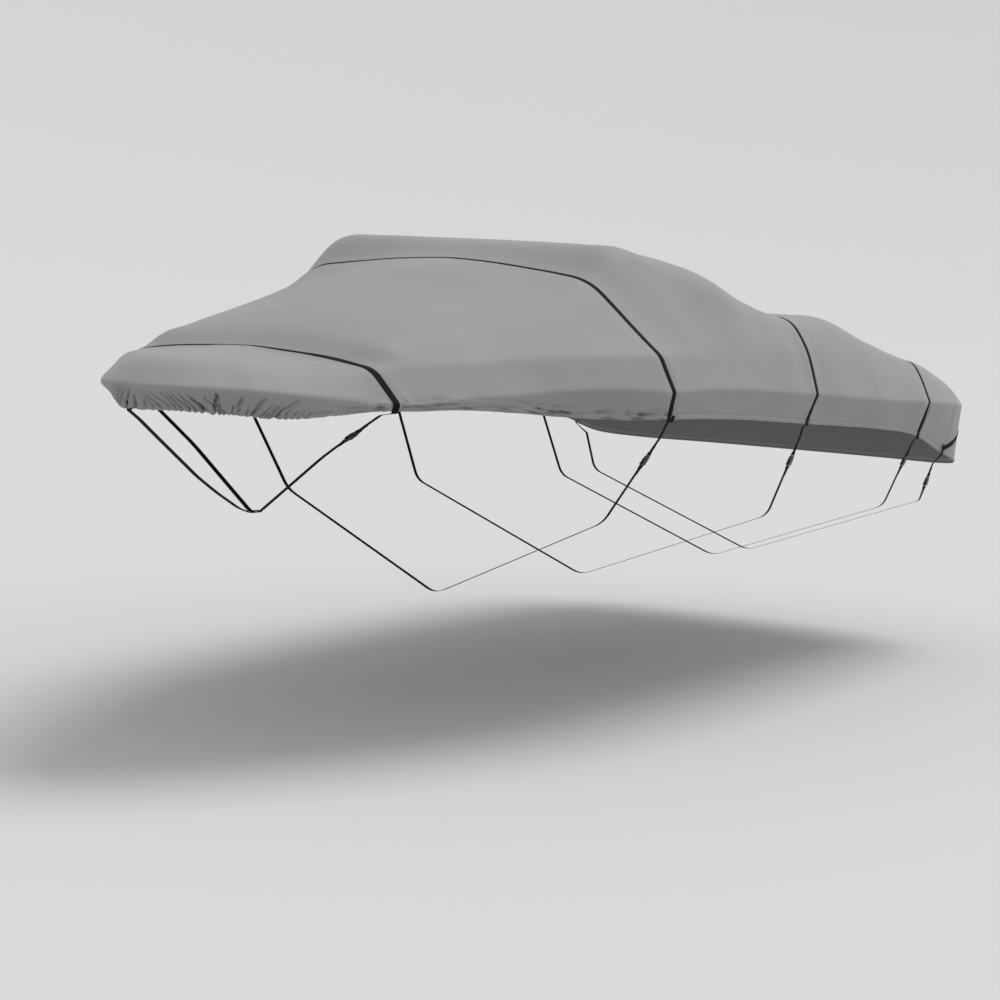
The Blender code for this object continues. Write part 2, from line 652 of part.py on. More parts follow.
cloth_grey = make_material("cloth_grey", (0.33, 0.33, 0.33), 0.7)
webbing_black = make_material("webbing_black", (0.02, 0.02, 0.022), 0.75)
buckle_black = make_material("buckle_black", (0.012, 0.012, 0.013), 0.4)

normals = cloth_normals(make_cloth())
for strap_index, strap_tie in enumerate(TIES[:-1]):
    make_over_strap(f"over_strap_{strap_tie.name}", strap_index)
make_stern_strap()
for strap_tie in TIES:
    make_tie_down(strap_tie)
make_stem_strap()
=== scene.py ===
# A fitted cover of grey woven polyester: one hollow sheet with a gathered hem, black webbing laid over it
# and run on below it, and a side-release buckle on each tie-down. Metres, +Z up, pointed end towards -X.

import math

import bmesh
import bpy
import numpy as np
from mathutils import Matrix, Vector


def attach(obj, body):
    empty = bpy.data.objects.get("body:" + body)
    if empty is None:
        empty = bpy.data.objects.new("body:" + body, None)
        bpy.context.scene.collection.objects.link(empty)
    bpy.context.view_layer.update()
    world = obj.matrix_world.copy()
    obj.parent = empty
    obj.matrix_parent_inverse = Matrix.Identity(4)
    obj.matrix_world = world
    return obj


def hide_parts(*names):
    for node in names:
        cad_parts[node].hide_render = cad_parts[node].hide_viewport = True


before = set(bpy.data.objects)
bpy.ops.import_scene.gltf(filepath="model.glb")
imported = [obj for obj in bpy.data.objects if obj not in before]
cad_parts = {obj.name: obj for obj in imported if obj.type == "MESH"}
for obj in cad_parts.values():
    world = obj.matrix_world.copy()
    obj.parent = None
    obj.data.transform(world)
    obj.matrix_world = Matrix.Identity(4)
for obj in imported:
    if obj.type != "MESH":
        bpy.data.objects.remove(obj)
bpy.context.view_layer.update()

narrow = 0.025      # webbing of every strap but the bow one
wide = 0.030        # webbing of the bow strap
webThick = 0.0015
clear = 0.0004      # between pieces that lie on each other

# Sections of the cloth from the bow round to the stern, each from the hem up to the centre line. The rail
# is where the side turns under. Its x, half width and height come first, then how far in and down from it
# the hem is, how far in and up the knee and the hip are, and the centre line's x and height.
fields = "railX half railZ hemIn hemDrop kneeIn kneeUp hipIn hipUp topX topZ".split()
sections = [
    (-2.685, 0.000, -0.608, 0.030, 0.088, 0.140, 0.105, 0.400, 0.125, -2.090, -0.474),
    (-2.625, 0.165, -0.608, 0.100, 0.090, 0.140, 0.105, 0.360, 0.125, -2.070, -0.474),
    (-2.463, 0.318, -0.613, 0.120, 0.097, 0.130, 0.105, 0.340, 0.127, -2.040, -0.473),
    (-2.240, 0.462, -0.628, 0.080, 0.092, 0.120, 0.110, 0.320, 0.135, -2.000, -0.472),
    (-1.850, 0.655, -0.656, 0.010, 0.027, 0.115, 0.130, 0.350, 0.170, -1.920, -0.468),
    (-1.750, 0.700, -0.653, 0.010, 0.030, 0.110, 0.135, 0.200, 0.200, -1.790, -0.410),
    (-1.600, 0.765, -0.643, 0.010, 0.035, 0.110, 0.140, 0.250, 0.240, -1.610, -0.348),
    (-1.300, 0.885, -0.616, 0.020, 0.075, 0.090, 0.130, 0.285, 0.270, -1.310, -0.268),
    (-0.950, 1.000, -0.596, 0.030, 0.120, 0.080, 0.130, 0.350, 0.320, -0.950, -0.188),
    (-0.670, 1.085, -0.596, 0.030, 0.130, 0.075, 0.135, 0.390, 0.380, -0.690, -0.123),
    (-0.470, 1.147, -0.608, 0.025, 0.117, 0.075, 0.150, 0.450, 0.460, -0.470, -0.088),
    (-0.270, 1.165, -0.600, 0.030, 0.128, 0.070, 0.150, 0.465, 0.585, -0.270, -0.013),
    (0.000, 1.180, -0.603, 0.035, 0.133, 0.070, 0.160, 0.400, 0.570, 0.000, 0.002),
    (0.250, 1.195, -0.610, 0.040, 0.137, 0.070, 0.180, 0.275, 0.512, 0.250, -0.024),
    (0.550, 1.205, -0.628, 0.050, 0.137, 0.070, 0.200, 0.220, 0.412, 0.530, -0.138),
    (0.875, 1.212, -0.643, 0.055, 0.142, 0.065, 0.205, 0.165, 0.352, 0.850, -0.276),
    (1.300, 1.212, -0.668, 0.060, 0.142, 0.065, 0.197, 0.155, 0.375, 1.270, -0.290),
    (1.800, 1.207, -0.696, 0.060, 0.147, 0.060, 0.160, 0.140, 0.290, 1.770, -0.368),
    (2.350, 1.195, -0.720, 0.060, 0.182, 0.060, 0.133, 0.110, 0.208, 2.270, -0.478),
    (2.700, 1.178, -0.738, 0.060, 0.252, 0.060, 0.112, 0.110, 0.158, 2.500, -0.533),
    (3.020, 1.116, -0.755, 0.020, 0.316, 0.060, 0.070, 0.120, 0.100, 2.630, -0.600),
    (3.215, 0.925, -0.764, 0.010, 0.334, 0.060, 0.056, 0.140, 0.088, 2.700, -0.628),
    (3.310, 0.615, -0.768, 0.020, 0.334, 0.060, 0.056, 0.140, 0.086, 2.730, -0.638),
    (3.345, 0.000, -0.768, 0.030, 0.334, 0.060, 0.056, 0.140, 0.086, 2.750, -0.643),
]
strapRows = {4: wide, 10: narrow, 15: narrow, 18: narrow}    # sections with webbing across them
slopeUnder = {wide: 0.0, narrow: 0.5}    # how much of the cloth's slope is left under each webbing


def smooth(values):
    values = np.clip(values, 0, 1)
    return values * values * (3 - 2 * values)


def window(distance, reach):      # 1 in the middle, 0 at the reach and past it
    return np.clip(1 - (np.asarray(distance) / reach) ** 2, 0, None) ** 2


def waver(values, spacing, seed):      # smooth random wave between -1 and 1
    values = np.asarray(values) / spacing
    cell = np.floor(values).astype(int)
    table = np.random.default_rng(seed).uniform(-1, 1, 4096)
    s = smooth(values - cell)
    return table[cell % 4096] * (1 - s) + table[(cell + 1) % 4096] * s


def patchy(along, up, spacing, seed):      # smooth random hills between -1 and 1
    x, y = np.broadcast_arrays(along / spacing, up / spacing)
    i, j = np.floor(x).astype(int), np.floor(y).astype(int)
    s, t = smooth(x - i), smooth(y - j)
    table = np.random.default_rng(seed).uniform(-1, 1, (256, 256))
    low = table[i % 256, j % 256] * (1 - s) + table[(i + 1) % 256, j % 256] * s
    high = table[i % 256, (j + 1) % 256] * (1 - s) + table[(i + 1) % 256, (j + 1) % 256] * s
    return low * (1 - t) + high * t


def unit(vectors):
    length = np.linalg.norm(vectors, axis=-1, keepdims=True)
    return np.where(length > 1e-9, vectors / np.maximum(length, 1e-9), (0.0, 0.0, 1.0))


def surfaceNormals(points):
    return unit(np.cross(np.gradient(points, axis=0), np.gradient(points, axis=1)))


def lengthsAlong(points):      # distance of each point from the first, along the line
    return np.r_[0, np.cumsum(np.linalg.norm(np.diff(points, axis=0), axis=1))]


def railStops(rows):      # distance of each section along the rail
    rows = np.asarray(rows, float)
    return np.r_[0, np.cumsum(np.hypot(np.diff(rows[:, 0]), np.diff(rows[:, 1])))]


def blended(rows, places):
    # every measure of the sections at any distance along the rail, on smooth curves
    stops = railStops(rows)
    rows = np.asarray(rows, float)
    places = np.atleast_1d(places)
    i = np.clip(np.searchsorted(stops, places, side="right") - 1, 0, len(stops) - 2)
    span = stops[i + 1] - stops[i]
    s = (places - stops[i]) / span
    result = {}
    for k, field in enumerate(fields):
        column = rows[:, k]
        rise = np.diff(column) / np.diff(stops)
        before, after = np.diff(stops)[:-1], np.diff(stops)[1:]
        slope = np.zeros(len(column))
        slope[1:-1] = (rise[:-1] * after + rise[1:] * before) / (before + after)
        if field == "half":
            slope[0], slope[-1] = 1, -1
        result[field] = (
            (2 * s**3 - 3 * s**2 + 1) * column[i] + (s**3 - 2 * s**2 + s) * span * slope[i]
            + (3 * s**2 - 2 * s**3) * column[i + 1] + (s**3 - s**2) * span * slope[i + 1])
    return result


def rowsWithStrapEdges():
    # a section under webbing becomes two, one at each edge, so the cloth lies flat under it
    stops = railStops(sections)
    rows, strapped = [], []
    for k, row in enumerate(sections):
        if k not in strapRows:
            rows.append(row)
            continue
        for edge in (-strapRows[k] / 2, strapRows[k] / 2):
            beside = {name: value[0] for name, value in blended(sections, stops[k] + edge).items()}
            for name in ("kneeUp", "hipUp", "topZ"):
                level = row[fields.index(name)]
                beside[name] = level + (beside[name] - level) * slopeUnder[strapRows[k]]
            beside["topX"] = row[fields.index("topX")] + edge
            strapped.append(len(rows))
            rows.append(tuple(beside[name] for name in fields))
    stops = railStops(rows)
    return np.asarray(rows), stops[-1], stops[strapped].reshape(-1, 2)


strappedRows, railLength, strapEdges = rowsWithStrapEdges()
strapMiddles = strapEdges.mean(axis=1)

cover = {
    "thickness": 0.0013,
    # how soft each bend is at places along the rail: round at the bow, crisp where the cloth is tight
    "bends": {
        "rail": ((0.0, 0.024), (0.8, 0.026), (1.2, 0.018), (1.8, 0.012), (7.3, 0.012)),
        "knee": ((0.0, 0.070), (0.9, 0.080), (1.2, 0.026), (2.6, 0.022), (3.1, 0.060), (7.3, 0.060)),
        "hip": ((0.0, 0.160), (2.3, 0.160), (2.5, 0.095), (2.85, 0.095), (3.1, 0.160), (7.3, 0.160))},
    "topEase": 1.6,      # how soon the top levels out towards the centre line
    "hemRows": (0, 0.004, 0.009, 0.014, 0.019, 0.0225, 0.026, 0.033, 0.045),      # up from the edge
    "hangRows": 9, "railRows": 8, "sideRows": 3, "kneeRows": 7, "flankRows": 4, "hipRows": 8, "topRows": 7,
    "step": 0.035,
    "fineEnd": 1.10, "fineStep": 0.0058,      # close columns where the hem is gathered
    "strapReach": 0.065, "strapStep": 0.0065,      # and beside the straps
    "casing": 0.0225, "casingRound": 0.0034,      # the elastic's casing along the hem
    "casingSeam": 1.08,      # height of its seam, in casing heights
    "seamDepth": 0.0016, "seamHalf": 0.0028,
    # gathers at places along the rail from the bow: how high they reach from the hem, and how deep they are
    "gathers": (
        (0.00, 0.095, 0.0170), (0.20, 0.100, 0.0230), (0.38, 0.100, 0.0230), (0.60, 0.080, 0.0170),
        (0.85, 0.055, 0.0090), (1.08, 0.026, 0.0020), (1.25, 0.030, 0.0025), (1.60, 0.034, 0.0030),
        (1.95, 0.036, 0.0034), (2.30, 0.034, 0.0045), (2.55, 0.034, 0.0048), (3.00, 0.026, 0.0022),
        (3.90, 0.020, 0.0012), (5.37, 0.018, 0.0010), (5.81, 0.030, 0.0022), (7.22, 0.020, 0.0012)),
    "puckerPitch": 0.029, "finePitch": 0.021,
    # which way the puckers lean at places along the rail
    "lean": ((0.0, 0.0), (0.08, 0.75), (0.36, 0.70), (0.50, -0.35), (0.80, -0.80), (1.20, -0.60)),
    # how much of the long shallow creases shows where the hem is stretched straight
    "streaks": ((0.70, 0.0), (1.00, 0.7), (1.60, 1.0), (2.45, 1.0), (2.75, 0.0)), "streakDepth": 0.0080,
    "ripples": ((0.0022, 0.34, 31), (0.0012, 0.13, 37)),      # the slack all over: depth, spacing, seed
    # broad folds: side (-1 is port), place, reach along, from and to up the section, depth outwards. Up the
    # section, 0 is the hem, 1 the rail, 2 the knee, 3 the hip and 4 the centre line.
    "folds": (
        (-1, 0.40, 0.10, 0.4, 2.1, -0.009), (-1, 0.62, 0.12, 0.4, 2.2, 0.006),
        (-1, 1.75, 0.22, 0.5, 2.9, -0.010), (-1, 3.90, 0.20, 0.6, 2.9, -0.008),
        (-1, 5.30, 0.10, 0.0, 1.9, 0.007), (1, 0.33, 0.11, 0.4, 2.1, -0.008),
        (1, 1.85, 0.25, 0.5, 2.8, -0.012), (1, 3.80, 0.24, 0.6, 2.9, -0.010),
        (1, 5.25, 0.12, 0.0, 1.9, 0.006)),
    # creases, listed one by one: side, depth outwards, half width, and points by place and how far up
    "creases": (
        (-1, -0.0120, 0.008, ((0.335, 0.98), (0.345, 0.72), (0.334, 0.45), (0.328, 0.25))),
        (-1, -0.0065, 0.011, ((0.455, 0.90), (0.440, 0.55), (0.415, 0.10))),
        (-1, -0.0060, 0.012, ((0.560, 0.98), (0.525, 0.55), (0.500, 0.10))),
        (-1, -0.0045, 0.014, ((0.700, 0.95), (0.655, 0.55), (0.615, 0.10))),
        (1, -0.0075, 0.010, ((0.290, 0.95), (0.300, 0.55), (0.285, 0.05))),
        (1, -0.0060, 0.012, ((0.470, 0.98), (0.440, 0.55), (0.420, 0.10))),
        (1, -0.0050, 0.013, ((0.640, 0.95), (0.600, 0.50), (0.570, 0.08))),
        (-1, 0.0050, 0.007, ((5.412, 1.00), (5.404, 0.60), (5.392, 0.05))),
        (-1, -0.0080, 0.008, ((5.432, 1.00), (5.421, 0.60), (5.405, 0.05))),
        (1, 0.0050, 0.012, ((5.430, 0.98), (5.415, 0.60), (5.396, 0.05))),
        (1, -0.0055, 0.013, ((5.456, 0.98), (5.440, 0.60), (5.418, 0.05)))),
    "sternTie": 5.81,      # place where the stern strap meets the hem
    # how far each strap draws the hem in, bow to stern, how far around, its dent and the swell beside it
    "pinch": (0.0024, 0.0075, 0.0055, 0.0045, 0.0085), "pinchReach": 0.085,
    "dent": 0.0016, "swell": 0.0010,
}
pulls = np.array([*strapMiddles, cover["sternTie"]])      # places where webbing bears on the hem
railRow = len(cover["hemRows"]) + cover["hangRows"]      # the first row of the rail's bend

farSide = {
    # the starboard side is fuller than port: place along the rail, reach, then how far the knee and the
    # hip stand out and how far the knee is raised
    "bow": (1.00, 0.80, 0.095, 0.080, 0.008),
    "crown": (2.74, 0.34, 0.000, 0.060, 0.000),
}


def fullerFarSide(measures, side, place):
    for middle, reach, kneeOut, hipOut, kneeRise in farSide.values():
        share = np.where(side > 0, window(place - middle, reach), 0)
        measures["kneeIn"] = measures["kneeIn"] - kneeOut * share
        measures["hipIn"] = measures["hipIn"] - hipOut * share
        measures["kneeUp"] = measures["kneeUp"] + kneeRise * share
    return measures


def roundedCorner(before, corner, after, reach, count):
    # points of a soft bend at a corner, for every section at once
    back, on = before - corner, after - corner
    backLength = np.linalg.norm(back, axis=1, keepdims=True)
    onLength = np.linalg.norm(on, axis=1, keepdims=True)
    cut = np.minimum(np.minimum(reach, 0.48 * backLength), 0.48 * onLength)
    start, end = corner + back / backLength * cut, corner + on / onLength * cut
    s = np.linspace(0, 1, count)[None, :, None]
    return (1 - s) ** 2 * start[:, None] + 2 * s * (1 - s) * corner[:, None] + s**2 * end[:, None]


def between(start, end, count):      # count points on the straight, without its ends
    s = (np.arange(1, count + 1) / (count + 1))[None, :, None]
    return start[:, None] * (1 - s) + end[:, None] * s


def hemSqueeze(hang):      # how much the hem's rows close up where little cloth hangs below the rail
    return np.minimum(1, 0.85 * hang / cover["hemRows"][-1])


def profiles(measures):
    # inset from the rail and height for each row of each section, and how far up the section each row is
    rail = measures["railZ"]
    reach = np.hypot(measures["topX"] - measures["railX"], measures["half"])
    hem = np.stack([measures["hemIn"], rail - measures["hemDrop"]], axis=1)
    turn = np.stack([rail * 0, rail], axis=1)
    knee = np.stack([measures["kneeIn"], rail + measures["kneeUp"]], axis=1)
    hip = np.stack([measures["hipIn"], rail + measures["hipUp"]], axis=1)
    top = np.stack([reach, measures["topZ"]], axis=1)
    soft = {}
    for name, bend in cover["bends"].items():
        soft[name] = np.interp(measures["place"], *np.array(bend).T)[:, None]
    railBend = roundedCorner(hem, turn, knee, soft["rail"], cover["railRows"])
    kneeBend = roundedCorner(turn, knee, hip, soft["knee"], cover["kneeRows"])
    hipBend = roundedCorner(knee, hip, top, soft["hip"], cover["hipRows"])
    hang = railBend[:, 0] - hem
    hangLength = np.linalg.norm(hang, axis=1, keepdims=True)
    squeeze = hemSqueeze(hangLength)
    low = hem[:, None] + (hang / hangLength)[:, None] * (np.array(cover["hemRows"]) * squeeze)[:, :, None]
    last = hipBend[:, -1]
    s = (np.arange(1, cover["topRows"] + 1) / cover["topRows"])[None, :]
    across = last[:, :1] + (reach[:, None] - last[:, :1]) * s
    rise = last[:, 1:] + (measures["topZ"][:, None] - last[:, 1:]) * (1 - (1 - s) ** cover["topEase"])
    points = np.concatenate([
        low, between(low[:, -1], railBend[:, 0], cover["hangRows"]), railBend,
        between(railBend[:, -1], kneeBend[:, 0], cover["sideRows"]), kneeBend,
        between(kneeBend[:, -1], hipBend[:, 0], cover["flankRows"]), hipBend,
        np.stack([across, rise], axis=2)], axis=1)
    steps = np.linalg.norm(np.diff(points, axis=1), axis=2)
    arc = np.concatenate([np.zeros((len(points), 1)), np.cumsum(steps, axis=1)], axis=1)
    turnRow = railRow + cover["railRows"] // 2
    kneeRow = turnRow + cover["railRows"] // 2 + cover["sideRows"] + cover["kneeRows"] // 2
    hipRow = kneeRow + cover["kneeRows"] // 2 + 1 + cover["flankRows"] + cover["hipRows"] // 2
    marks = [0, turnRow, kneeRow, hipRow, points.shape[1] - 1]
    level = np.stack([np.interp(a, a[marks], range(5)) for a in arc])
    return points, arc, level, squeeze


def clothPlaces():
    # distances along the rail of all columns, closer at the gathers and beside the straps
    tight = [(middle - cover["strapReach"], middle + cover["strapReach"]) for middle in pulls]
    fixed = {0.0, cover["fineEnd"], railLength, *strapEdges.ravel(), *strapMiddles, *np.ravel(tight)}
    fixed = sorted(fixed)
    places = [0.0]
    for a, b in zip(fixed, fixed[1:]):
        middle = (a + b) / 2
        step = cover["fineStep"] if middle < cover["fineEnd"] else cover["step"]
        if any(low < middle < high for low, high in tight):
            step = min(step, cover["strapStep"])
        count = max(1, math.ceil((b - a) / step - 0.05))
        places += [a + (b - a) * k / count for k in range(1, count + 1)]
    return np.array(places)


def strapNearness(place):      # distance from the nearest edge of a strap, 0 under it
    halves = np.array([wide, narrow, narrow, narrow, narrow]) / 2
    return np.clip(np.abs(place[:, None] - pulls) - halves, 0, None).min(axis=1)


def broadFolds(u, level):      # the same folds as in the frame's cover
    side, place = np.where(u < 0, -1, 1), np.abs(u)
    away = np.minimum(np.minimum(strapNearness(place) + 0.015, place), railLength - place)
    free = np.clip(away / 0.09 - 0.1, 0, 1)[:, None]
    depth = np.zeros(level.shape)
    for foldSide, middle, reach, low, high, out in cover["folds"]:
        here = np.where(side == foldSide, window(place - middle, reach), 0)[:, None]
        depth += out * here * window(level - (low + high) / 2, (high - low) / 2)
    return depth * free


def gatheredHem(u, arc):
    # round puckers with tight creases between them, and finer ones near the edge
    place = np.abs(u)
    stops, heights, depths = np.array(cover["gathers"]).T
    height = np.interp(place, stops, heights)[:, None] * (1 + 0.35 * waver(u, 0.055, 5))[:, None]
    depth = np.interp(place, stops, depths)[:, None]
    lean = np.interp(place, *np.array(cover["lean"]).T)
    slant = (lean * np.sign(u) + 0.45 * waver(u, 0.10, 9))[:, None]
    drift = u[:, None] + slant * arc + 0.015 * patchy(u[:, None], arc, 0.045, 3)
    phase = drift / cover["puckerPitch"] + 0.55 * waver(drift, 0.085, 11) + 0.35 * waver(drift, 0.045, 17)
    ridge = np.abs(np.sin(math.pi * phase)) ** 0.6 * 2 - 1.35
    ridge = ridge * (0.70 + 0.45 * waver(drift, 0.05, 23) + 0.45 * patchy(drift, arc, 0.040, 7))
    fine = np.abs(np.sin(math.pi * (drift / cover["finePitch"] + 0.6 * waver(drift, 0.06, 29)))) - 0.6
    ridge = ridge + 0.35 * fine * np.clip(1 - arc / (0.6 * height), 0, 1)
    fade = np.clip(1 - arc / height, 0, 1) ** 0.85
    calm = 0.40 + 0.60 * smooth(arc / 0.028)      # the elastic keeps the edge itself nearly straight
    return ridge * depth * fade * calm * smooth(strapNearness(place) / 0.022)[:, None]


def hemStreaks(u, arc):      # long shallow creases between the bow's gathers and the crown
    place = np.abs(u)
    share = np.interp(place, *np.array(cover["streaks"]).T)[:, None]
    lift = 9 * arc + 0.9 * place[:, None]
    streak = 0.7 - 2.2 * np.abs(patchy(u[:, None] + 0.8 * arc, lift, 0.085, 43))
    band = window(arc - 0.022, 0.042) * smooth(strapNearness(place) / 0.03)[:, None]
    return cover["streakDepth"] * share * streak * band


def hemCasing(arc, squeeze):
    casing = cover["casing"] * squeeze
    rounding = np.sin(math.pi * np.clip(arc / casing, 0, 1)) ** 0.8 * cover["casingRound"]
    seam = np.exp(-((arc - casing * cover["casingSeam"]) / cover["seamHalf"]) ** 2)
    return rounding * np.sqrt(squeeze) - cover["seamDepth"] * seam


def handCreases(u, arc, level):
    # soft hollows and ridges along the listed lines, fading at both ends
    depth = np.zeros(arc.shape)
    for side, out, half, line in cover["creases"]:
        ends = []
        for place, height in line:
            k = int(np.argmin(np.abs(u - side * place)))
            ends.append((side * place, np.interp(height, level[k], arc[k])))
        nearest, share = np.full(arc.shape, np.inf), np.zeros(arc.shape)
        for n, ((u0, a0), (u1, a1)) in enumerate(zip(ends, ends[1:])):
            along = (u[:, None] - u0) * (u1 - u0) + (arc - a0) * (a1 - a0)
            s = np.clip(along / ((u1 - u0) ** 2 + (a1 - a0) ** 2), 0, 1)
            gap = np.hypot(u[:, None] - u0 - s * (u1 - u0), arc - a0 - s * (a1 - a0))
            share = np.where(gap < nearest, (n + s) / (len(ends) - 1), share)
            nearest = np.minimum(gap, nearest)
        depth += out * np.exp(-(nearest / half) ** 2) * smooth(share / 0.35)
    return depth


def strapPinches(u, arc):
    # the cloth is drawn in where a strap bears on the hem, with short creases running to it
    depth = np.zeros(arc.shape)
    place = np.abs(u)[:, None]
    for k, (middle, pull) in enumerate(zip(pulls, cover["pinch"])):
        away = np.abs(place - middle)
        spread = np.arctan2(arc + 0.004, away + 0.004)      # creases fan out from here
        reach = window(np.hypot(away, arc), cover["pinchReach"]) * smooth((away - 0.010) / 0.012)
        side = np.sign(u)[:, None] * np.sign(place - middle)
        depth += pull * reach * np.cos(spread * 9.5 + 1.3 * side + k)
        depth -= cover["dent"] * window(away, 0.034) * smooth(arc / 0.02)
        depth += cover["swell"] * window(away - 0.045, 0.030) * smooth(arc / 0.02)
    return depth


def softRipples(u, arc, level):
    waves = [depth * patchy(u[:, None], arc, spacing, seed) for depth, spacing, seed in cover["ripples"]]
    return sum(waves) * smooth((4 - level) / 0.6) * smooth(level / 0.5)


def clothNormals(points):      # out of the cover, so upwards over its top
    normals = surfaceNormals(points)
    return -normals if normals[:, -4, 2].mean() < 0 else normals


def clothGrid():
    places = clothPlaces()
    u = np.concatenate([-places[::-1], places[1:]])      # port stern, round the bow, starboard stern
    side = np.sign(u)
    measures = fullerFarSide(blended(strappedRows, np.abs(u)), side, np.abs(u))
    measures["place"] = np.abs(u)
    # ahead of the bow strap the centre line's x runs straight, because a smooth curve would turn back there
    foreTop = np.interp(np.abs(u), railStops(strappedRows), strappedRows[:, fields.index("topX")])
    measures["topX"] = np.where(np.abs(u) < strapEdges[0][0], foreTop, measures["topX"])
    flat, arc, level, squeeze = profiles(measures)
    reach = flat[:, -1:, 0]
    inwardX = ((measures["topX"] - measures["railX"])[:, None]) / reach
    inwardY = -measures["half"][:, None] / reach
    inset = flat[:, :, 0] - broadFolds(u, level)
    x = measures["railX"][:, None] + inwardX * inset
    y = side[:, None] * np.maximum(measures["half"][:, None] + inwardY * inset, 0)
    points = np.stack([x, y, flat[:, :, 1]], axis=2)
    points[:, -1, 1] = 0
    points[(0, -1), :, 1] = 0
    normals = clothNormals(points)
    onCentre = [0, len(u) // 2, len(u) - 1]      # the columns at the bow's tip and the stern's middle
    normals[onCentre, :, 1] = 0
    normals = unit(normals)
    depth = gatheredHem(u, arc) + handCreases(u, arc, level) + strapPinches(u, arc)
    depth += hemStreaks(u, arc)
    # painted shade: how deep each point lies in a crease, up to the knee, which the material turns into
    # darker base colour
    creaseShadeMask = np.clip(depth / 0.010, -1, 1) * smooth((2.0 - level) / 0.6)      # only up to the knee
    depth += softRipples(u, arc, level)
    ends = smooth((railLength - np.abs(u)) / 0.12)[:, None]
    depth = depth * ends * smooth((4 - level) / 0.25) + hemCasing(arc, squeeze)
    points = points + normals * depth[:, :, None]
    points[:, -1, 1] = 0
    points[onCentre, :, 1] = 0
    return u, arc, points, clothNormals(points), creaseShadeMask


def addObject(name, data):
    item = bpy.data.objects.new(name, data)
    bpy.context.scene.collection.objects.link(item)
    return item


def makeMesh(name, vertices, faces, uv=None, merge=0.0, creaseShadeMask=None):
    mesh = bpy.data.meshes.new(name)
    mesh.from_pydata([tuple(v) for v in vertices], [], [tuple(int(k) for k in f) for f in faces])
    if uv is not None:
        corners = np.zeros(len(mesh.loops), np.int32)
        mesh.loops.foreach_get("vertex_index", corners)
        mesh.uv_layers.new(name="weave").data.foreach_set("uv", np.asarray(uv, np.float32)[corners].ravel())
    # the crease depth goes to the material, which paints shade into the cloth's creases from it
    if creaseShadeMask is not None:      # -1 in a trough, 1 on a ridge
        layer = mesh.attributes.new("creaseShadeMask", "FLOAT", "POINT")
        layer.data.foreach_set("value", np.asarray(creaseShadeMask, np.float32).ravel())
    work = bmesh.new()
    work.from_mesh(mesh)
    if merge:
        bmesh.ops.remove_doubles(work, verts=work.verts, dist=merge)
        bmesh.ops.delete(work, geom=[v for v in work.verts if not v.link_faces], context="VERTS")
    bmesh.ops.recalc_face_normals(work, faces=work.faces)
    work.to_mesh(mesh)
    work.free()
    mesh.shade_smooth()
    return addObject(name, mesh)


def gridFaces(columns, count):
    i, j = np.meshgrid(np.arange(columns - 1), np.arange(count - 1), indexing="ij")
    first = (i * count + j).ravel()
    return np.stack([first, first + count, first + count + 1, first + 1], axis=1)


print("shaping the cloth")
gridU, gridArc, gridPoints, gridNormals, gridCreaseShadeMask = clothGrid()


def onCloth(u, arc):
    # a point on the cloth's outer face, and the outward direction there
    k = int(np.clip(np.searchsorted(gridU, u) - 1, 0, len(gridU) - 2))
    share = (u - gridU[k]) / (gridU[k + 1] - gridU[k])
    point, out = np.zeros(3), np.zeros(3)
    for column, weight in ((k, 1 - share), (k + 1, share)):
        for axis in range(3):
            point[axis] += weight * np.interp(arc, gridArc[column], gridPoints[column, :, axis])
            out[axis] += weight * np.interp(arc, gridArc[column], gridNormals[column, :, axis])
    return Vector(point), Vector(out).normalized()


def newLook(name, sockets):
    # a new material with these values on its shader
    material = bpy.data.materials.new(name)
    material.use_nodes = True
    nodes, links = material.node_tree.nodes, material.node_tree.links
    fill(nodes["Principled BSDF"], sockets)
    return material, nodes, links


def fill(node, sockets):
    for socket, value in sockets.items():
        node.inputs[socket].default_value = value
    return node


def ramp(nodes, stops):
    node = nodes.new("ShaderNodeValToRGB")
    for element, (position, colour) in zip(node.color_ramp.elements, stops):
        element.position = position
        element.color = (*colour, 1)
    return node


def weave(nodes, links, threads, sockets):
    # crossing threads on the cloth's own coordinates; a wave repeats every 0.314 / scale
    place = nodes.new("ShaderNodeUVMap")
    place.uv_map = "weave"
    both = nodes.new("ShaderNodeMath")
    both.operation = "MAXIMUM"
    for k, direction in enumerate(("X", "Y")):
        yarn = fill(nodes.new("ShaderNodeTexWave"), {"Scale": 0.314 / threads, "Distortion": 0.3})
        yarn.bands_direction = direction
        links.new(place.outputs["UV"], yarn.inputs["Vector"])
        links.new(yarn.outputs["Fac"], both.inputs[k])
    bump = fill(nodes.new("ShaderNodeBump"), sockets)
    links.new(both.outputs["Value"], bump.inputs["Height"])
    return bump


fabric = {
    "shader": {"Roughness": 0.62, "Specular IOR Level": 0.35, "Sheen Weight": 0.12, "Sheen Roughness": 0.4},
    "blotches": {"Scale": 1.7, "Detail": 3.0},
    "tones": ((0.30, (0.256, 0.256, 0.256)), (0.72, (0.286, 0.286, 0.285))),
    # painted shade: stops that darken the base colour down in the creases, where shadow falls
    "creaseShadeStops": ((0.10, (0.40, 0.40, 0.40)), (0.44, (1.0, 1.0, 1.0))),      # darker down in the creases
    "slack": {"Scale": 7.0, "Detail": 2.0},
    "slackBump": {"Strength": 0.25, "Distance": 0.008},
    "threads": 0.0011,
    "weaveBump": {"Strength": 0.35, "Distance": 0.00012},
}


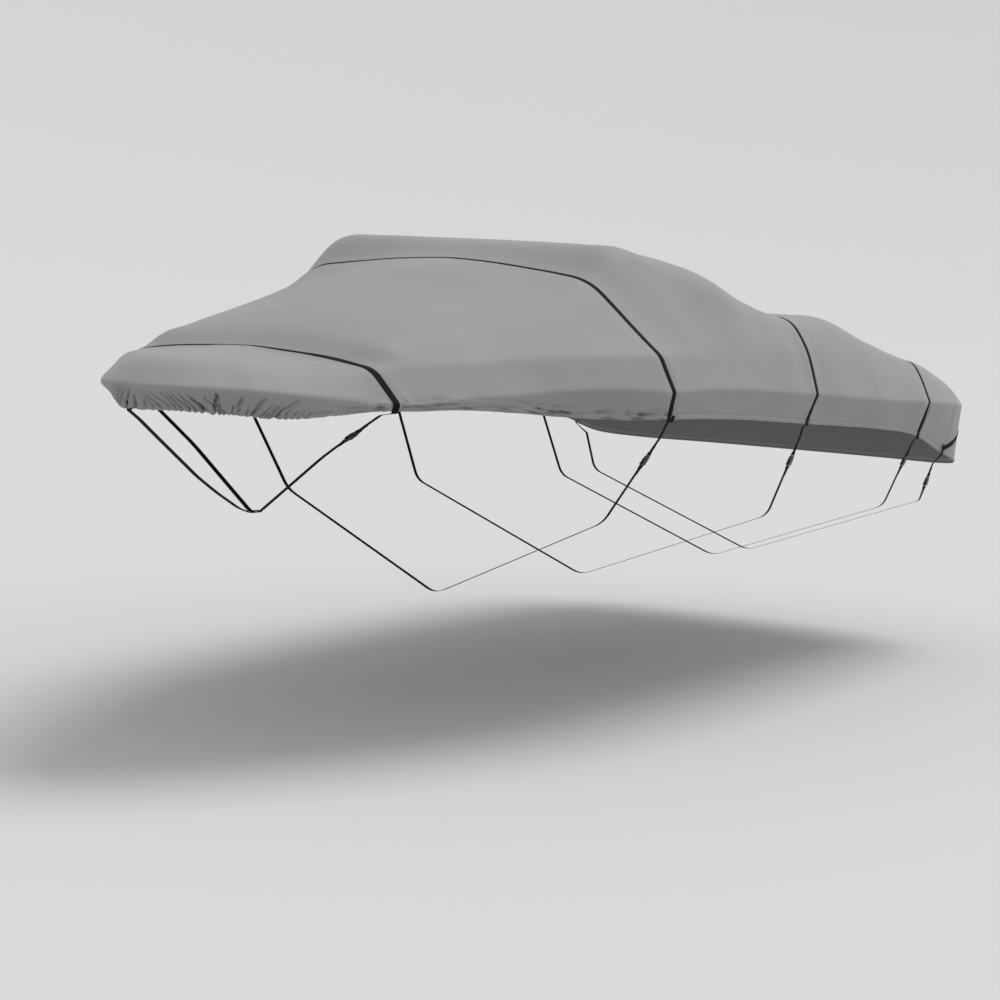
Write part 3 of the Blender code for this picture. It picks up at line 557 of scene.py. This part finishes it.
def fabricLook():
    material, nodes, links = newLook("greyPolyester", fabric["shader"])
    shader = nodes["Principled BSDF"]
    place = nodes.new("ShaderNodeTexCoord")
    blotches = fill(nodes.new("ShaderNodeTexNoise"), fabric["blotches"])
    tones = ramp(nodes, fabric["tones"])
    links.new(place.outputs["Object"], blotches.inputs["Vector"])
    links.new(blotches.outputs["Fac"], tones.inputs["Fac"])
    # painted shade: the crease depth darkens the base colour in the creases
    folds = nodes.new("ShaderNodeAttribute")
    folds.attribute_name = "creaseShadeMask"
    spread = fill(nodes.new("ShaderNodeMapRange"), {"From Min": -1.0})
    creaseShadeStops = ramp(nodes, fabric["creaseShadeStops"])
    shaded = fill(nodes.new("ShaderNodeMixRGB"), {"Fac": 1.0})
    shaded.blend_type = "MULTIPLY"
    links.new(folds.outputs["Fac"], spread.inputs["Value"])
    links.new(spread.outputs["Result"], creaseShadeStops.inputs["Fac"])
    links.new(tones.outputs["Color"], shaded.inputs["Color1"])
    links.new(creaseShadeStops.outputs["Color"], shaded.inputs["Color2"])
    links.new(shaded.outputs["Color"], shader.inputs["Base Color"])
    slack = fill(nodes.new("ShaderNodeTexNoise"), fabric["slack"])
    slackBump = fill(nodes.new("ShaderNodeBump"), fabric["slackBump"])
    links.new(place.outputs["Object"], slack.inputs["Vector"])
    links.new(slack.outputs["Fac"], slackBump.inputs["Height"])
    weaveBump = weave(nodes, links, fabric["threads"], fabric["weaveBump"])
    links.new(slackBump.outputs["Normal"], weaveBump.inputs["Normal"])
    links.new(weaveBump.outputs["Normal"], shader.inputs["Normal"])
    return material


webbing = {
    "shader": {"Base Color": (0.009, 0.009, 0.010, 1), "Roughness": 0.70, "Specular IOR Level": 0.08},
    "threads": 0.0019,
    "weaveBump": {"Strength": 0.6, "Distance": 0.0003},
}


def webbingLook():
    material, nodes, links = newLook("blackWebbing", webbing["shader"])
    bump = weave(nodes, links, webbing["threads"], webbing["weaveBump"])
    links.new(bump.outputs["Normal"], nodes["Principled BSDF"].inputs["Normal"])
    return material


plastic = {
    "shader": {"Base Color": (0.011, 0.011, 0.012, 1), "Roughness": 0.36},
    "grain": {"Scale": 900.0},
    "grainBump": {"Strength": 0.15, "Distance": 0.0001},
}


def plasticLook():
    material, nodes, links = newLook("mouldedBlack", plastic["shader"])
    place = nodes.new("ShaderNodeTexCoord")
    grain = fill(nodes.new("ShaderNodeTexNoise"), plastic["grain"])
    bump = fill(nodes.new("ShaderNodeBump"), plastic["grainBump"])
    links.new(place.outputs["Object"], grain.inputs["Vector"])
    links.new(grain.outputs["Fac"], bump.inputs["Height"])
    links.new(bump.outputs["Normal"], nodes["Principled BSDF"].inputs["Normal"])
    return material


greyPolyester = fabricLook()
blackWebbing = webbingLook()
mouldedBlack = plasticLook()
greyThread = newLook("greyThread", {"Base Color": (0.20, 0.20, 0.205, 1), "Roughness": 0.5})[0]
blackThread = newLook("blackThread", {"Base Color": (0.035, 0.035, 0.038, 1), "Roughness": 0.5})[0]


def makeCover():
    uv = np.stack([np.broadcast_to(gridU[:, None], gridArc.shape), gridArc], axis=2).reshape(-1, 2)
    faces = gridFaces(*gridArc.shape)
    item = makeMesh("coverCloth", gridPoints.reshape(-1, 3), faces, uv, merge=0.00002, creaseShadeMask=gridCreaseShadeMask)
    if sum(face.normal.z * face.area for face in item.data.polygons) < 0:
        item.data.flip_normals()
    sheet = item.modifiers.new("thickness", "SOLIDIFY")
    sheet.thickness = cover["thickness"]
    sheet.offset = -1
    sheet.use_rim = True
    item.data.materials.append(greyPolyester)
    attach(item, "root")
    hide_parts("cover")


makeCover()
print("cloth done")


def makeWebbing(name, patch, outward):
    # a closed strip from its middle surface, rows along it and columns across, thinner at both edges
    count, across = patch.shape[:2]
    thin = np.full(across, webThick / 2)
    thin[[0, -1]] *= 0.45
    upper = patch + outward * thin[None, :, None]
    lower = patch - outward * thin[None, :, None]
    vertices = np.concatenate([upper.reshape(-1, 3), lower.reshape(-1, 3)])
    top = gridFaces(count, across)
    faces = [tuple(f) for f in top] + [tuple(f[::-1] + count * across) for f in top]
    loop = list(range(across))
    loop += [k * across + across - 1 for k in range(1, count)]
    loop += [(count - 1) * across + k for k in range(across - 2, -1, -1)]
    loop += [k * across for k in range(count - 2, 0, -1)]
    faces += [(a, b, b + count * across, a + count * across) for a, b in zip(loop, loop[1:] + loop[:1])]
    lengths, widths = lengthsAlong(patch[:, across // 2]), lengthsAlong(patch[count // 2])
    uv = np.stack(np.meshgrid(lengths, widths, indexing="ij")[::-1], axis=2).reshape(-1, 2)
    item = makeMesh(name, vertices, faces, np.concatenate([uv, uv]))
    item.data.materials.append(blackWebbing)
    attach(item, "root")
    return item


tieNames = ("bow", "crown", "cockpit", "aft", "stern")
overStrap = {
    "bowLift": 0.0014,      # the bow one bridges the cloth's ripples
    "sway": 0.0012, "swaySpacing": 0.11, "swaySeed": 53,      # the others aren't laid quite straight
    "calmEnd": 0.2,
}


def makeOverStrap(name, index):
    # the cloth's own columns under the strap, from the port hem to the starboard hem, raised clear of it
    low, high = strapEdges[index]
    inside = [k for k in range(len(gridU)) if low - 1e-6 <= gridU[k] <= high + 1e-6]
    mirrored = [len(gridU) - 1 - k for k in inside]
    patch, outward = [
        np.concatenate([np.swapaxes(grid[mirrored], 0, 1), np.swapaxes(grid[inside], 0, 1)[-2::-1]])
        for grid in (gridPoints, gridNormals)]
    outward = unit(outward)
    run = lengthsAlong(patch[:, 0])
    ends = smooth(run / overStrap["calmEnd"]) * smooth((run[-1] - run) / overStrap["calmEnd"])
    bowLift, sway = (overStrap["bowLift"], 0.0) if name == "bow" else (0.0, overStrap["sway"])
    shift = sway * waver(run, overStrap["swaySpacing"], overStrap["swaySeed"] + index) * ends
    lift = clear + webThick / 2 + bowLift
    patch = patch + outward * lift + shift[:, None, None] * np.array((1.0, 0.0, 0.0))
    strap = makeWebbing(f"overStrap.{name}", patch, outward)
    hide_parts(f"over_strap_{name}")


for index, name in enumerate(tieNames[:-1]):
    makeOverStrap(name, index)

sternStrap = {
    # place along the rail, and height from 0 at the hem to 1 where the rail's bend starts
    "route": (
        (5.81, 0.10), (5.92, 0.30), (6.03, 0.52), (6.20, 0.68), (6.45, 0.78), (6.75, 0.83), (7.22, 0.85)),
    "rows": 70, "columns": 6,      # rows to each side
    "smoothings": 4,
    "hang": 0.30,      # metres from the hem to the rail's bend there
    "lift": 0.0010,
}


def makeSternStrap():
    stops, heights = np.array(sternStrap["route"]).T
    run = np.linspace(stops[0], railLength, sternStrap["rows"])
    heights = np.interp(run, stops, heights)
    for _ in range(sternStrap["smoothings"]):
        heights[1:-1] = (heights[:-2] + 2 * heights[1:-1] + heights[2:]) / 4
    rise = np.gradient(heights, run) * sternStrap["hang"]
    patch, outward = [], []
    for side, order in ((-1, range(len(run))), (1, range(len(run) - 2, -1, -1))):
        for k in order:
            column = int(np.argmin(np.abs(gridU - side * run[k])))
            middle = heights[k] * gridArc[column, railRow]
            half = narrow / 2 * math.sqrt(1 + rise[k] ** 2)
            offsets = np.linspace(-half, half, sternStrap["columns"])
            line = [onCloth(side * run[k], middle + offset) for offset in offsets]
            patch.append([point for point, out in line])
            outward.append([out for point, out in line])
    patch, outward = np.array(patch), np.array(outward)
    for _ in range(3):      # webbing bridges the small hollows of the cloth
        outward[1:-1] = (outward[:-2] + 2 * outward[1:-1] + outward[2:]) / 4
    outward = unit(outward)
    patch = patch + outward * (sternStrap["lift"] + webThick / 2)
    strap = makeWebbing("overStrap.stern", patch, outward)
    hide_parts("over_strap_stern")


makeSternStrap()
print("over straps done")

# Tie-downs below the hem, as they run to port: outward y and z of the turn under the hem, of the flank and
# of the elbow, then the distance from the turn to the buckle's middle, and z where they cross underneath.
ties = {
    "bow": {
        "width": wide, "x": -1.854, "turn": (0.585, -0.701), "flank": (0.555, -0.722),
        "elbow": (0.320, -0.886), "buckleAt": 0.160, "bottomZ": -1.150},
    "crown": {
        "width": narrow, "x": -0.470, "turn": (1.121, -0.733), "flank": (1.085, -0.808),
        "elbow": (0.834, -1.191), "buckleAt": 0.200, "bottomZ": -1.590},
    "cockpit": {
        "width": narrow, "x": 0.875, "turn": (1.145, -0.800), "flank": (1.133, -0.850),
        "elbow": (0.986, -1.232), "buckleAt": 0.172, "bottomZ": -1.620},
    "aft": {
        "width": narrow, "x": 2.350, "turn": (1.120, -0.920), "flank": (1.112, -0.938),
        "elbow": (0.970, -1.280), "buckleAt": 0.124, "bottomZ": -1.640},
    "stern": {
        "width": narrow, "x": 2.790, "turn": (1.064, -1.068), "flank": (1.062, -1.074),
        "elbow": (1.000, -1.275), "buckleAt": 0.105, "bottomZ": -1.645},
}
tieShape = {
    "columns": 5, "bendPoints": 9,
    "cuts": {"turn": 0.010, "flank": 0.015, "elbow": 0.045}, "hemCut": 0.002, "bottomCut": 0.050,
    "lap": 0.5, "sternLap": 0.18,      # how much of the cloth below the rail the sewn end covers
    "lapClear": 0.0006,
    "past": 0.006,      # how far it runs on past the hem before it turns in
    "tail": 0.045,      # webbing folded back from each bar
    "leadIn": 0.016, "turnRadius": 0.0040,      # straight from here to the bar, and round it
}
buckle = {
    "barAt": 0.034, "barHalf": 0.0017, "frameHalf": 0.0019, "slotEnd": 0.0260, "slotPlay": 0.001,
    "cheek": 0.006, "socketHalf": 0.0065, "mouth": -0.0100, "prongEnd": 0.0120, "armThick": 0.0044,
}


def roundedRoute(points, cuts):
    # the route with each corner replaced by a short curve that starts its cut before it
    route = [points[0]]
    for before, corner, after, cut in zip(points, points[1:], points[2:], cuts[1:]):
        if not cut:
            route.append(corner)
            continue
        back, on = before - corner, after - corner
        cut = min(cut, 0.45 * back.length, 0.45 * on.length)
        start, end = corner + back.normalized() * cut, corner + on.normalized() * cut
        for k in range(tieShape["bendPoints"]):
            s = k / (tieShape["bendPoints"] - 1)
            route.append((1 - s) ** 2 * start + 2 * s * (1 - s) * corner + s**2 * end)
    route.append(points[-1])
    return route


def makeRibbon(name, bends, width):
    # bends are (point, direction of the width, cut)
    lines = []
    for offset in np.linspace(-width / 2, width / 2, tieShape["columns"]):
        points = [point + across * offset for point, across, cut in bends]
        lines.append([tuple(p) for p in roundedRoute(points, [cut for point, across, cut in bends])])
    patch = np.swapaxes(np.array(lines), 0, 1)
    return makeWebbing(name, patch, surfaceNormals(patch))


def lapBends(name, side):
    # the end sewn over the strap that lies on the cloth, and the short run past the hem
    over = clear + webThick + tieShape["lapClear"] + webThick / 2
    middle, half = pulls[tieNames.index(name)], ties[name]["width"] / 2
    hang = gridArc[int(np.argmin(np.abs(gridU - side * middle))), railRow]
    lapTop = hang * (tieShape["sternLap"] if name == "stern" else tieShape["lap"])
    edges = []
    for offset in (-half, half):
        u = side * (middle + offset)
        up, out = onCloth(u, lapTop)
        edges.append((onCloth(u, 0.0)[0] + out * over, up + out * over))
    (hemA, upA), (hemB, upB) = edges
    hem, up = (hemA + hemB) / 2, (upA + upB) / 2
    across = (hemB - hemA).normalized()
    past = hem + (hem - up).normalized() * tieShape["past"]
    return [(up, across, 0), (hem, across, 0), (past, across, tieShape["hemCut"])]


def barTurn(middle, along, out, end):
    # in along the back, round the bar and back along the front; end is -1 at the plug and +1 at the socket
    layer = webThick / 2 + clear / 2
    bar, radius = buckle["barAt"], tieShape["turnRadius"]
    tail, leadIn = bar + tieShape["tail"], bar + tieShape["leadIn"]
    flat = [(tail, -layer), (leadIn, -layer)]
    for k in range(11):
        angle = math.pi * k / 10
        flat.append((bar - radius * math.sin(angle), -radius * math.cos(angle)))
    flat += [(leadIn, layer), (tail, layer)]
    across = Vector((1.0, 0.0, 0.0))
    return [(middle + along * (end * u) + out * n, across, 0) for u, n in flat]


def plate(outline, holes, thickness, edge=0.0006):
    # a moulded plate with softened edges, from its outline and the holes in it
    shape = bpy.data.curves.new("plate", "CURVE")
    shape.dimensions = "2D"
    shape.fill_mode = "BOTH"
    shape.extrude = thickness / 2 - edge
    shape.bevel_depth = edge
    shape.bevel_resolution = 2
    shape.offset = -edge
    for points in [outline, *holes]:
        spline = shape.splines.new("POLY")
        spline.points.add(len(points) - 1)
        for k, (x, y) in enumerate(points):
            spline.points[k].co = (x, y, 0, 1)
        spline.use_cyclic_u = True
    item = addObject("plate", shape)
    mesh = bpy.data.meshes.new_from_object(item.evaluated_get(bpy.context.evaluated_depsgraph_get()))
    bpy.data.objects.remove(item)
    return mesh


def roundedBox(x0, y0, x1, y1, radius):
    points = []
    for cx, cy, turn in ((x1, y0, -90), (x1, y1, 0), (x0, y1, 90), (x0, y0, 180)):
        for k in range(5):
            angle = math.radians(turn + 22.5 * k)
            insetX = cx - radius if cx == x1 else cx + radius
            insetY = cy - radius if cy == y1 else cy + radius
            points.append((insetX + radius * math.cos(angle), insetY + radius * math.sin(angle)))
    return points


def joined(name, pieces):
    # pieces are (mesh, height of its middle)
    work = bmesh.new()
    for mesh, height in pieces:
        mesh.transform(Matrix.Translation((0, 0, height)))
        work.from_mesh(mesh)
    bmesh.ops.remove_doubles(work, verts=work.verts, dist=0.00001)
    mesh = bpy.data.meshes.new(name)
    work.to_mesh(mesh)
    work.free()
    mesh.shade_smooth()
    mesh.set_sharp_from_angle(angle=math.radians(40))
    return addObject(name, mesh)


def plugHalf(name, width):
    half = width / 2
    edge, slot = half + buckle["cheek"], half + buckle["slotPlay"]
    shoulder = buckle["mouth"] - clear
    bar, barHalf, slotEnd = buckle["barAt"], buckle["barHalf"], buckle["slotEnd"]
    body = plate(
        roundedBox(-edge, -bar - barHalf, edge, shoulder, 0.003),
        [roundedBox(-slot, -bar + barHalf, slot, -slotEnd, 0.0012)], buckle["frameHalf"] * 2)
    root, tip = shoulder - 0.003, buckle["prongEnd"]
    collar = roundedBox(-edge, -slotEnd + 0.003, edge, shoulder, 0.0025)
    pieces = [(body, 0), (plate(collar, [], buckle["socketHalf"] * 1.4, 0.0012), 0)]
    for hand in (-1, 1):      # arms with a shoulder that catches in the socket's window
        arm = [
            (half - 0.0060, root), (half - 0.0002, root), (half - 0.0010, root + 0.006),
            (half + 0.0015, root + 0.010), (half + 0.0022, tip - 0.006), (half - 0.0005, tip - 0.001),
            (half - 0.0025, tip), (half - 0.0050, tip - 0.002)]
        arm = [(x * hand, y) for x, y in arm]
        pieces.append((plate(arm if hand > 0 else arm[::-1], [], buckle["armThick"], 0.0005), 0))
    guide = roundedBox(-width * 0.14, root, width * 0.14, tip * 0.6, 0.0015)
    pieces.append((plate(guide, [], buckle["armThick"], 0.0005), 0))
    for k in range(3):      # grip ribs across the collar
        y = -slotEnd + 0.0062 + 0.0030 * k
        rib = roundedBox(-half * 0.7, y - 0.0006, half * 0.7, y + 0.0006, 0.0005)
        pieces.append((plate(rib, [], 0.0012, 0.0003), buckle["socketHalf"] * 0.7 + 0.0001))
    return joined(name, pieces)


def socketHalf(name, width):
    half = width / 2
    edge, slot = half + buckle["cheek"], half + buckle["slotPlay"]
    mouth, tip, end = buckle["mouth"], buckle["prongEnd"], buckle["slotEnd"]
    bar, barHalf = buckle["barAt"], buckle["barHalf"]
    waist = edge - 0.0022      # the sides draw in where the arms are pressed
    outline = roundedBox(-edge, mouth, edge, end - 0.003, 0.0028)
    side = [(edge, mouth + 0.005), (waist, mouth + 0.010), (waist, tip - 0.003), (edge, tip + 0.003)]
    right = [p for p in outline if p[0] > 0 and p[1] < mouth + 0.004]
    upper = [p for p in outline if p[1] > tip + 0.004]
    left = [p for p in outline if p[0] < 0 and p[1] < mouth + 0.004]
    shape = right + side + upper + [(-x, y) for x, y in side[::-1]] + left
    deep, inner = buckle["socketHalf"], edge - 0.0004
    wall = deep - 0.0030
    pieces = [(plate(shape, [], wall, 0.0010), hand * (deep - wall / 2)) for hand in (-1, 1)]
    back = roundedBox(-inner, tip + 0.003, inner, end - 0.0034, 0.002)
    pieces.append((plate(back, [], deep * 1.6, 0.0008), 0))
    for hand in (-1, 1):      # posts at the corners of the mouth
        x0, x1 = sorted((hand * (half + 0.0022), hand * inner))
        post = roundedBox(x0, mouth + 0.0004, x1, mouth + 0.007, 0.0010)
        pieces.append((plate(post, [], 0.0090, 0.0004), 0))
    frameHole = roundedBox(-slot, end, slot, bar - barHalf, 0.0012)
    bars = roundedBox(-edge, end - 0.006, edge, bar + barHalf, 0.003)
    pieces.append((plate(bars, [frameHole], buckle["frameHalf"] * 2), 0))
    ridge = roundedBox(-half * 0.55, mouth + 0.008, half * 0.55, tip + 0.001, 0.003)
    pieces.append((plate(ridge, [], 0.0012, 0.0004), deep + 0.0001))
    return joined(name, pieces)


def placeBuckle(name, width, middle, along, out):
    across = along.cross(out)
    turn = Matrix((across, along, out)).transposed().to_4x4()
    for part, make in (("plug", plugHalf), ("socket", socketHalf)):
        item = make(f"buckle.{part}.{name}", width)
        item.data.transform(Matrix.Translation(middle) @ turn)
        item.data.materials.append(mouldedBlack)
        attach(item, "root")
        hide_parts(f"buckle_{part}_{name}")


def makeTieDown(name, tie):
    across, width = Vector((1.0, 0.0, 0.0)), tie["width"]
    runs = {}
    for side in (-1, 1):
        runs[side] = lapBends(name, side)
        for corner, cut in tieShape["cuts"].items():
            y, z = tie[corner]
            runs[side].append((Vector((tie["x"], side * y, z)), across, cut))
    near, far = runs[-1], runs[1]
    turn, flank, elbow = [bend[0] for bend in near[-3:]]
    along = (elbow - flank).normalized()
    out = across.cross(along).normalized()
    out *= 1 if out.y < 0 else -1
    middle = flank + along * (tie["buckleAt"] - (flank - turn).length)
    placeBuckle(name, width, middle, along, out)
    upper = makeRibbon(f"tieUpper.{name}", near[:-1] + barTurn(middle, along, out, -1), width)
    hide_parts(f"tie_upper_{name}")
    bottom = (Vector((tie["x"], 0.0, tie["bottomZ"])), across, tieShape["bottomCut"])
    bends = [*reversed(barTurn(middle, along, out, 1)), near[-1], bottom, *reversed(far)]
    lower = makeRibbon(f"tieLower.{name}", bends, width)
    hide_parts(f"tie_lower_{name}")


for name, tie in ties.items():
    makeTieDown(name, tie)
print("tie-downs and buckles done")

stemStrap = {
    # x and z, from under the hem down to the bow tie-down
    "route": ((-2.600, -0.735), (-2.529, -0.782), (-2.234, -0.972), (-2.109, -1.040), (-1.960, -1.112)),
    "cut": 0.03,
    "loopLow": 0.0001, "loopHigh": 0.0062,      # the loop's layers below and above the bow tie-down
    "loopReach": 0.0300, "tail": 0.04,
}


def makeStemStrap():
    x, (elbowY, elbowZ), bottomZ = [ties["bow"][key] for key in ("x", "elbow", "bottomZ")]
    fall = (elbowZ - bottomZ) / elbowY
    bottom = bottomZ + fall * tieShape["bottomCut"] / math.hypot(1.0, fall) / 2
    low, high = bottom - stemStrap["loopLow"], bottom + stemStrap["loopHigh"]
    front = x - stemStrap["loopReach"]
    over = clear + webThick / 2
    up, out = onCloth(0.0, gridArc[len(gridU) // 2, railRow] / 2)
    hem = onCloth(0.0, 0.0)[0] + out * over
    up += out * over
    past = hem + (hem - up).normalized() * tieShape["past"]
    route = [(up.x, up.z, 0), (hem.x, hem.z, 0), (past.x, past.z, tieShape["hemCut"])]
    route += [(*point, stemStrap["cut"]) for point in stemStrap["route"]] + [(front, low, 0)]
    for k in range(9):      # round the tie-down
        angle = math.pi * k / 8
        reach = stemStrap["loopReach"] + (high - low) / 2 * math.sin(angle)
        route.append((x + reach, (low + high) / 2 - (high - low) / 2 * math.cos(angle), 0))
    route.append((front, high, 0))
    lastX, lastZ = stemStrap["route"][-1]      # its end is sewn back on itself
    onward = Vector((lastX - front, lastZ - low)).normalized()
    aside = Vector((onward.y, -onward.x)) * (webThick + clear)
    end = Vector((front, low)) + onward * stemStrap["tail"] + aside
    route.append((end.x, end.y, 0))
    across = Vector((0.0, 1.0, 0.0))
    bends = [(Vector((px, 0.0, pz)), across, cut) for px, pz, cut in route]
    strap = makeRibbon("stemStrap", bends, narrow)
    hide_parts("stem_strap")


makeStemStrap()

stitches = {
    "pitch": 0.0065, "length": 0.0046, "half": 0.00045,
    "boxSide": 0.0035, "boxTop": 0.004, "boxLow": 0.005,      # how far inside the lap its box is sewn
}


def sewn(name, lines, material):
    # short raised stitches along each line of (point, outward) pairs
    vertices, faces = [], []
    for line in lines:
        points = np.array([tuple(point) for point, out in line])
        outs = np.array([tuple(out) for point, out in line])
        run = lengthsAlong(points)
        for start in np.arange(stitches["pitch"] / 2, run[-1] - stitches["length"], stitches["pitch"]):
            stops = (start, start + stitches["length"])
            a, b = [np.array([np.interp(s, run, points[:, k]) for k in range(3)]) for s in stops]
            up = unit(np.array([np.interp(start, run, outs[:, k]) for k in range(3)]))
            across = unit(np.cross(b - a, up))
            middle, half, first = (a + b) / 2, stitches["half"], len(vertices)
            vertices += [a, middle + across * half, b, middle - across * half]
            vertices += [middle + up * half * 1.5, middle - up * half]
            for k in range(4):
                faces.append((first + k, first + (k + 1) % 4, first + 4))
                faces.append((first + (k + 1) % 4, first + k, first + 5))
    item = makeMesh(name, vertices, faces)
    item.data.materials.append(material)
    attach(item, "root")


def hemSeam():
    # along the top of the casing, left out under the webbing
    squeeze = hemSqueeze(gridArc[:, railRow])
    lines = [[]]
    for k in range(1, len(gridU) - 1):
        if strapNearness(np.abs(gridU[k:k + 1]))[0] > 0.001:
            lines[-1].append(onCloth(gridU[k], cover["casing"] * cover["casingSeam"] * squeeze[k]))
        else:
            lines.append([])
    return [line for line in lines if len(line) > 1]


def lapSeams():
    # a sewn box with crossed diagonals on each lap
    lines = []
    for name, tie in ties.items():
        for side in (-1, 1):
            (top, across, _), (low, _, _) = lapBends(name, side)[:2]
            down = (low - top).normalized()
            out = across.cross(down).normalized()
            out *= 1 if out.y * side > 0 else -1
            raised, half = out * (webThick / 2 + 0.0001), tie["width"] / 2 - stitches["boxSide"]
            top = top + down * stitches["boxTop"] + raised
            low = low - down * stitches["boxLow"] + raised
            box = [top - across * half, top + across * half, low + across * half, low - across * half]
            for a, b in ((0, 1), (1, 2), (2, 3), (3, 0), (0, 2), (1, 3)):
                lines.append([(box[a], out), (box[b], out)])
    return lines


keeper = {
    "straps": ("crown", "cockpit", "aft"), "width": 0.012, "beside": 0.010,
    "top": 0.020, "proud": 0.0055, "below": 0.011,
    "behind": 0.0035,      # how far it comes back behind the hem
}


def makeKeeper(name, side):
    # a short loop sewn to the hem just aft of the strap, hanging a little below it
    u = side * (pulls[tieNames.index(name)] + narrow / 2 + keeper["beside"])
    height = keeper["top"]
    top, out = onCloth(u, height)
    hem = onCloth(u, 0.0)[0]
    across = (onCloth(u + side * 0.005, height)[0] - onCloth(u - side * 0.005, height)[0]).normalized()
    down = (hem - top).normalized()
    fall, proud, behind = down * keeper["below"], out * keeper["proud"], out * keeper["behind"]
    bends = [
        (top + out * 0.0014, across, 0), (top + down * 0.009 + proud, across, 0.004),
        (hem + fall + proud * 0.8, across, 0.004), (hem + fall * 0.9 - behind, across, 0.003),
        (hem + down * 0.002 - behind, across, 0)]
    hand = "port" if side < 0 else "starboard"
    makeRibbon(f"keeper.{name}.{hand}", bends, keeper["width"])


for name in keeper["straps"]:
    for side in (-1, 1):
        makeKeeper(name, side)
sewn("hemSeam", hemSeam(), greyThread)
sewn("lapSeams", lapSeams(), blackThread)
print("stitching done")

view = {
    "place": (-9.897, -5.926, -0.059), "ahead": (0.855, 0.509, -0.098), "up": (0.060, 0.091, 0.994),
    "lens": 90.0, "sensor": 36.0,
}
studio = {
    "floor": -2.068,
    # reach and height of the floor's rings, as it sweeps up far away on every side
    "sweep": ((24.0, 0.0), (32.0, 0.4), (42.0, 1.8), (54.0, 4.6), (70.0, 10.0), (90.0, 20.0)),
    "around": 64,
    "floorLook": {"Base Color": (0.60, 0.60, 0.60, 1), "Roughness": 0.9},
    "sky": {"Color": (0.97, 0.97, 0.975, 1), "Strength": 0.66},
    # suns: strength, spread in degrees, and the way each shines
    "suns": {"key": (1.62, 35, (-0.42, 0.14, -0.95)), "side": (0.85, 60, (-0.90, 0.50, -0.12))},
}


def makeCamera():
    camera = bpy.data.cameras.new("camera")
    camera.lens = view["lens"]
    camera.sensor_width = view["sensor"]
    camera.clip_end = 300
    item = addObject("camera", camera)
    ahead, up = Vector(view["ahead"]).normalized(), Vector(view["up"])
    right = ahead.cross(up).normalized()
    up = right.cross(ahead)
    turn = Matrix((right, up, -ahead)).transposed().to_4x4()
    item.matrix_world = Matrix.Translation(view["place"]) @ turn
    bpy.context.scene.camera = item


def makeStudio():
    count = studio["around"]
    vertices = [(0.0, 0.0, studio["floor"])]
    for reach, height in studio["sweep"]:
        for k in range(count):
            angle = 2 * math.pi * k / count
            vertices.append((reach * math.cos(angle), reach * math.sin(angle), studio["floor"] + height))
    faces = [(0, 1 + k, 1 + (k + 1) % count) for k in range(count)]
    for ring in range(len(studio["sweep"]) - 1):
        for k in range(count):
            a, b = 1 + ring * count + k, 1 + ring * count + (k + 1) % count
            faces.append((a, a + count, b + count, b))
    floor = makeMesh("studioFloor", vertices, faces)
    floor.data.materials.append(newLook("paleFloor", studio["floorLook"])[0])


def makeLight():
    world = bpy.data.worlds.new("studio")
    bpy.context.scene.world = world
    bpy.context.scene.view_settings.view_transform = "Standard"
    world.use_nodes = True
    fill(world.node_tree.nodes["Background"], studio["sky"])
    for name, (strength, spread, aim) in studio["suns"].items():
        light = bpy.data.lights.new(name, "SUN")
        light.energy = strength
        light.angle = math.radians(spread)
        item = addObject(name, light)
        item.rotation_euler = Vector(aim).to_track_quat("-Z", "Y").to_euler()


makeCamera()
makeStudio()
makeLight()
print("camera, floor and light done")
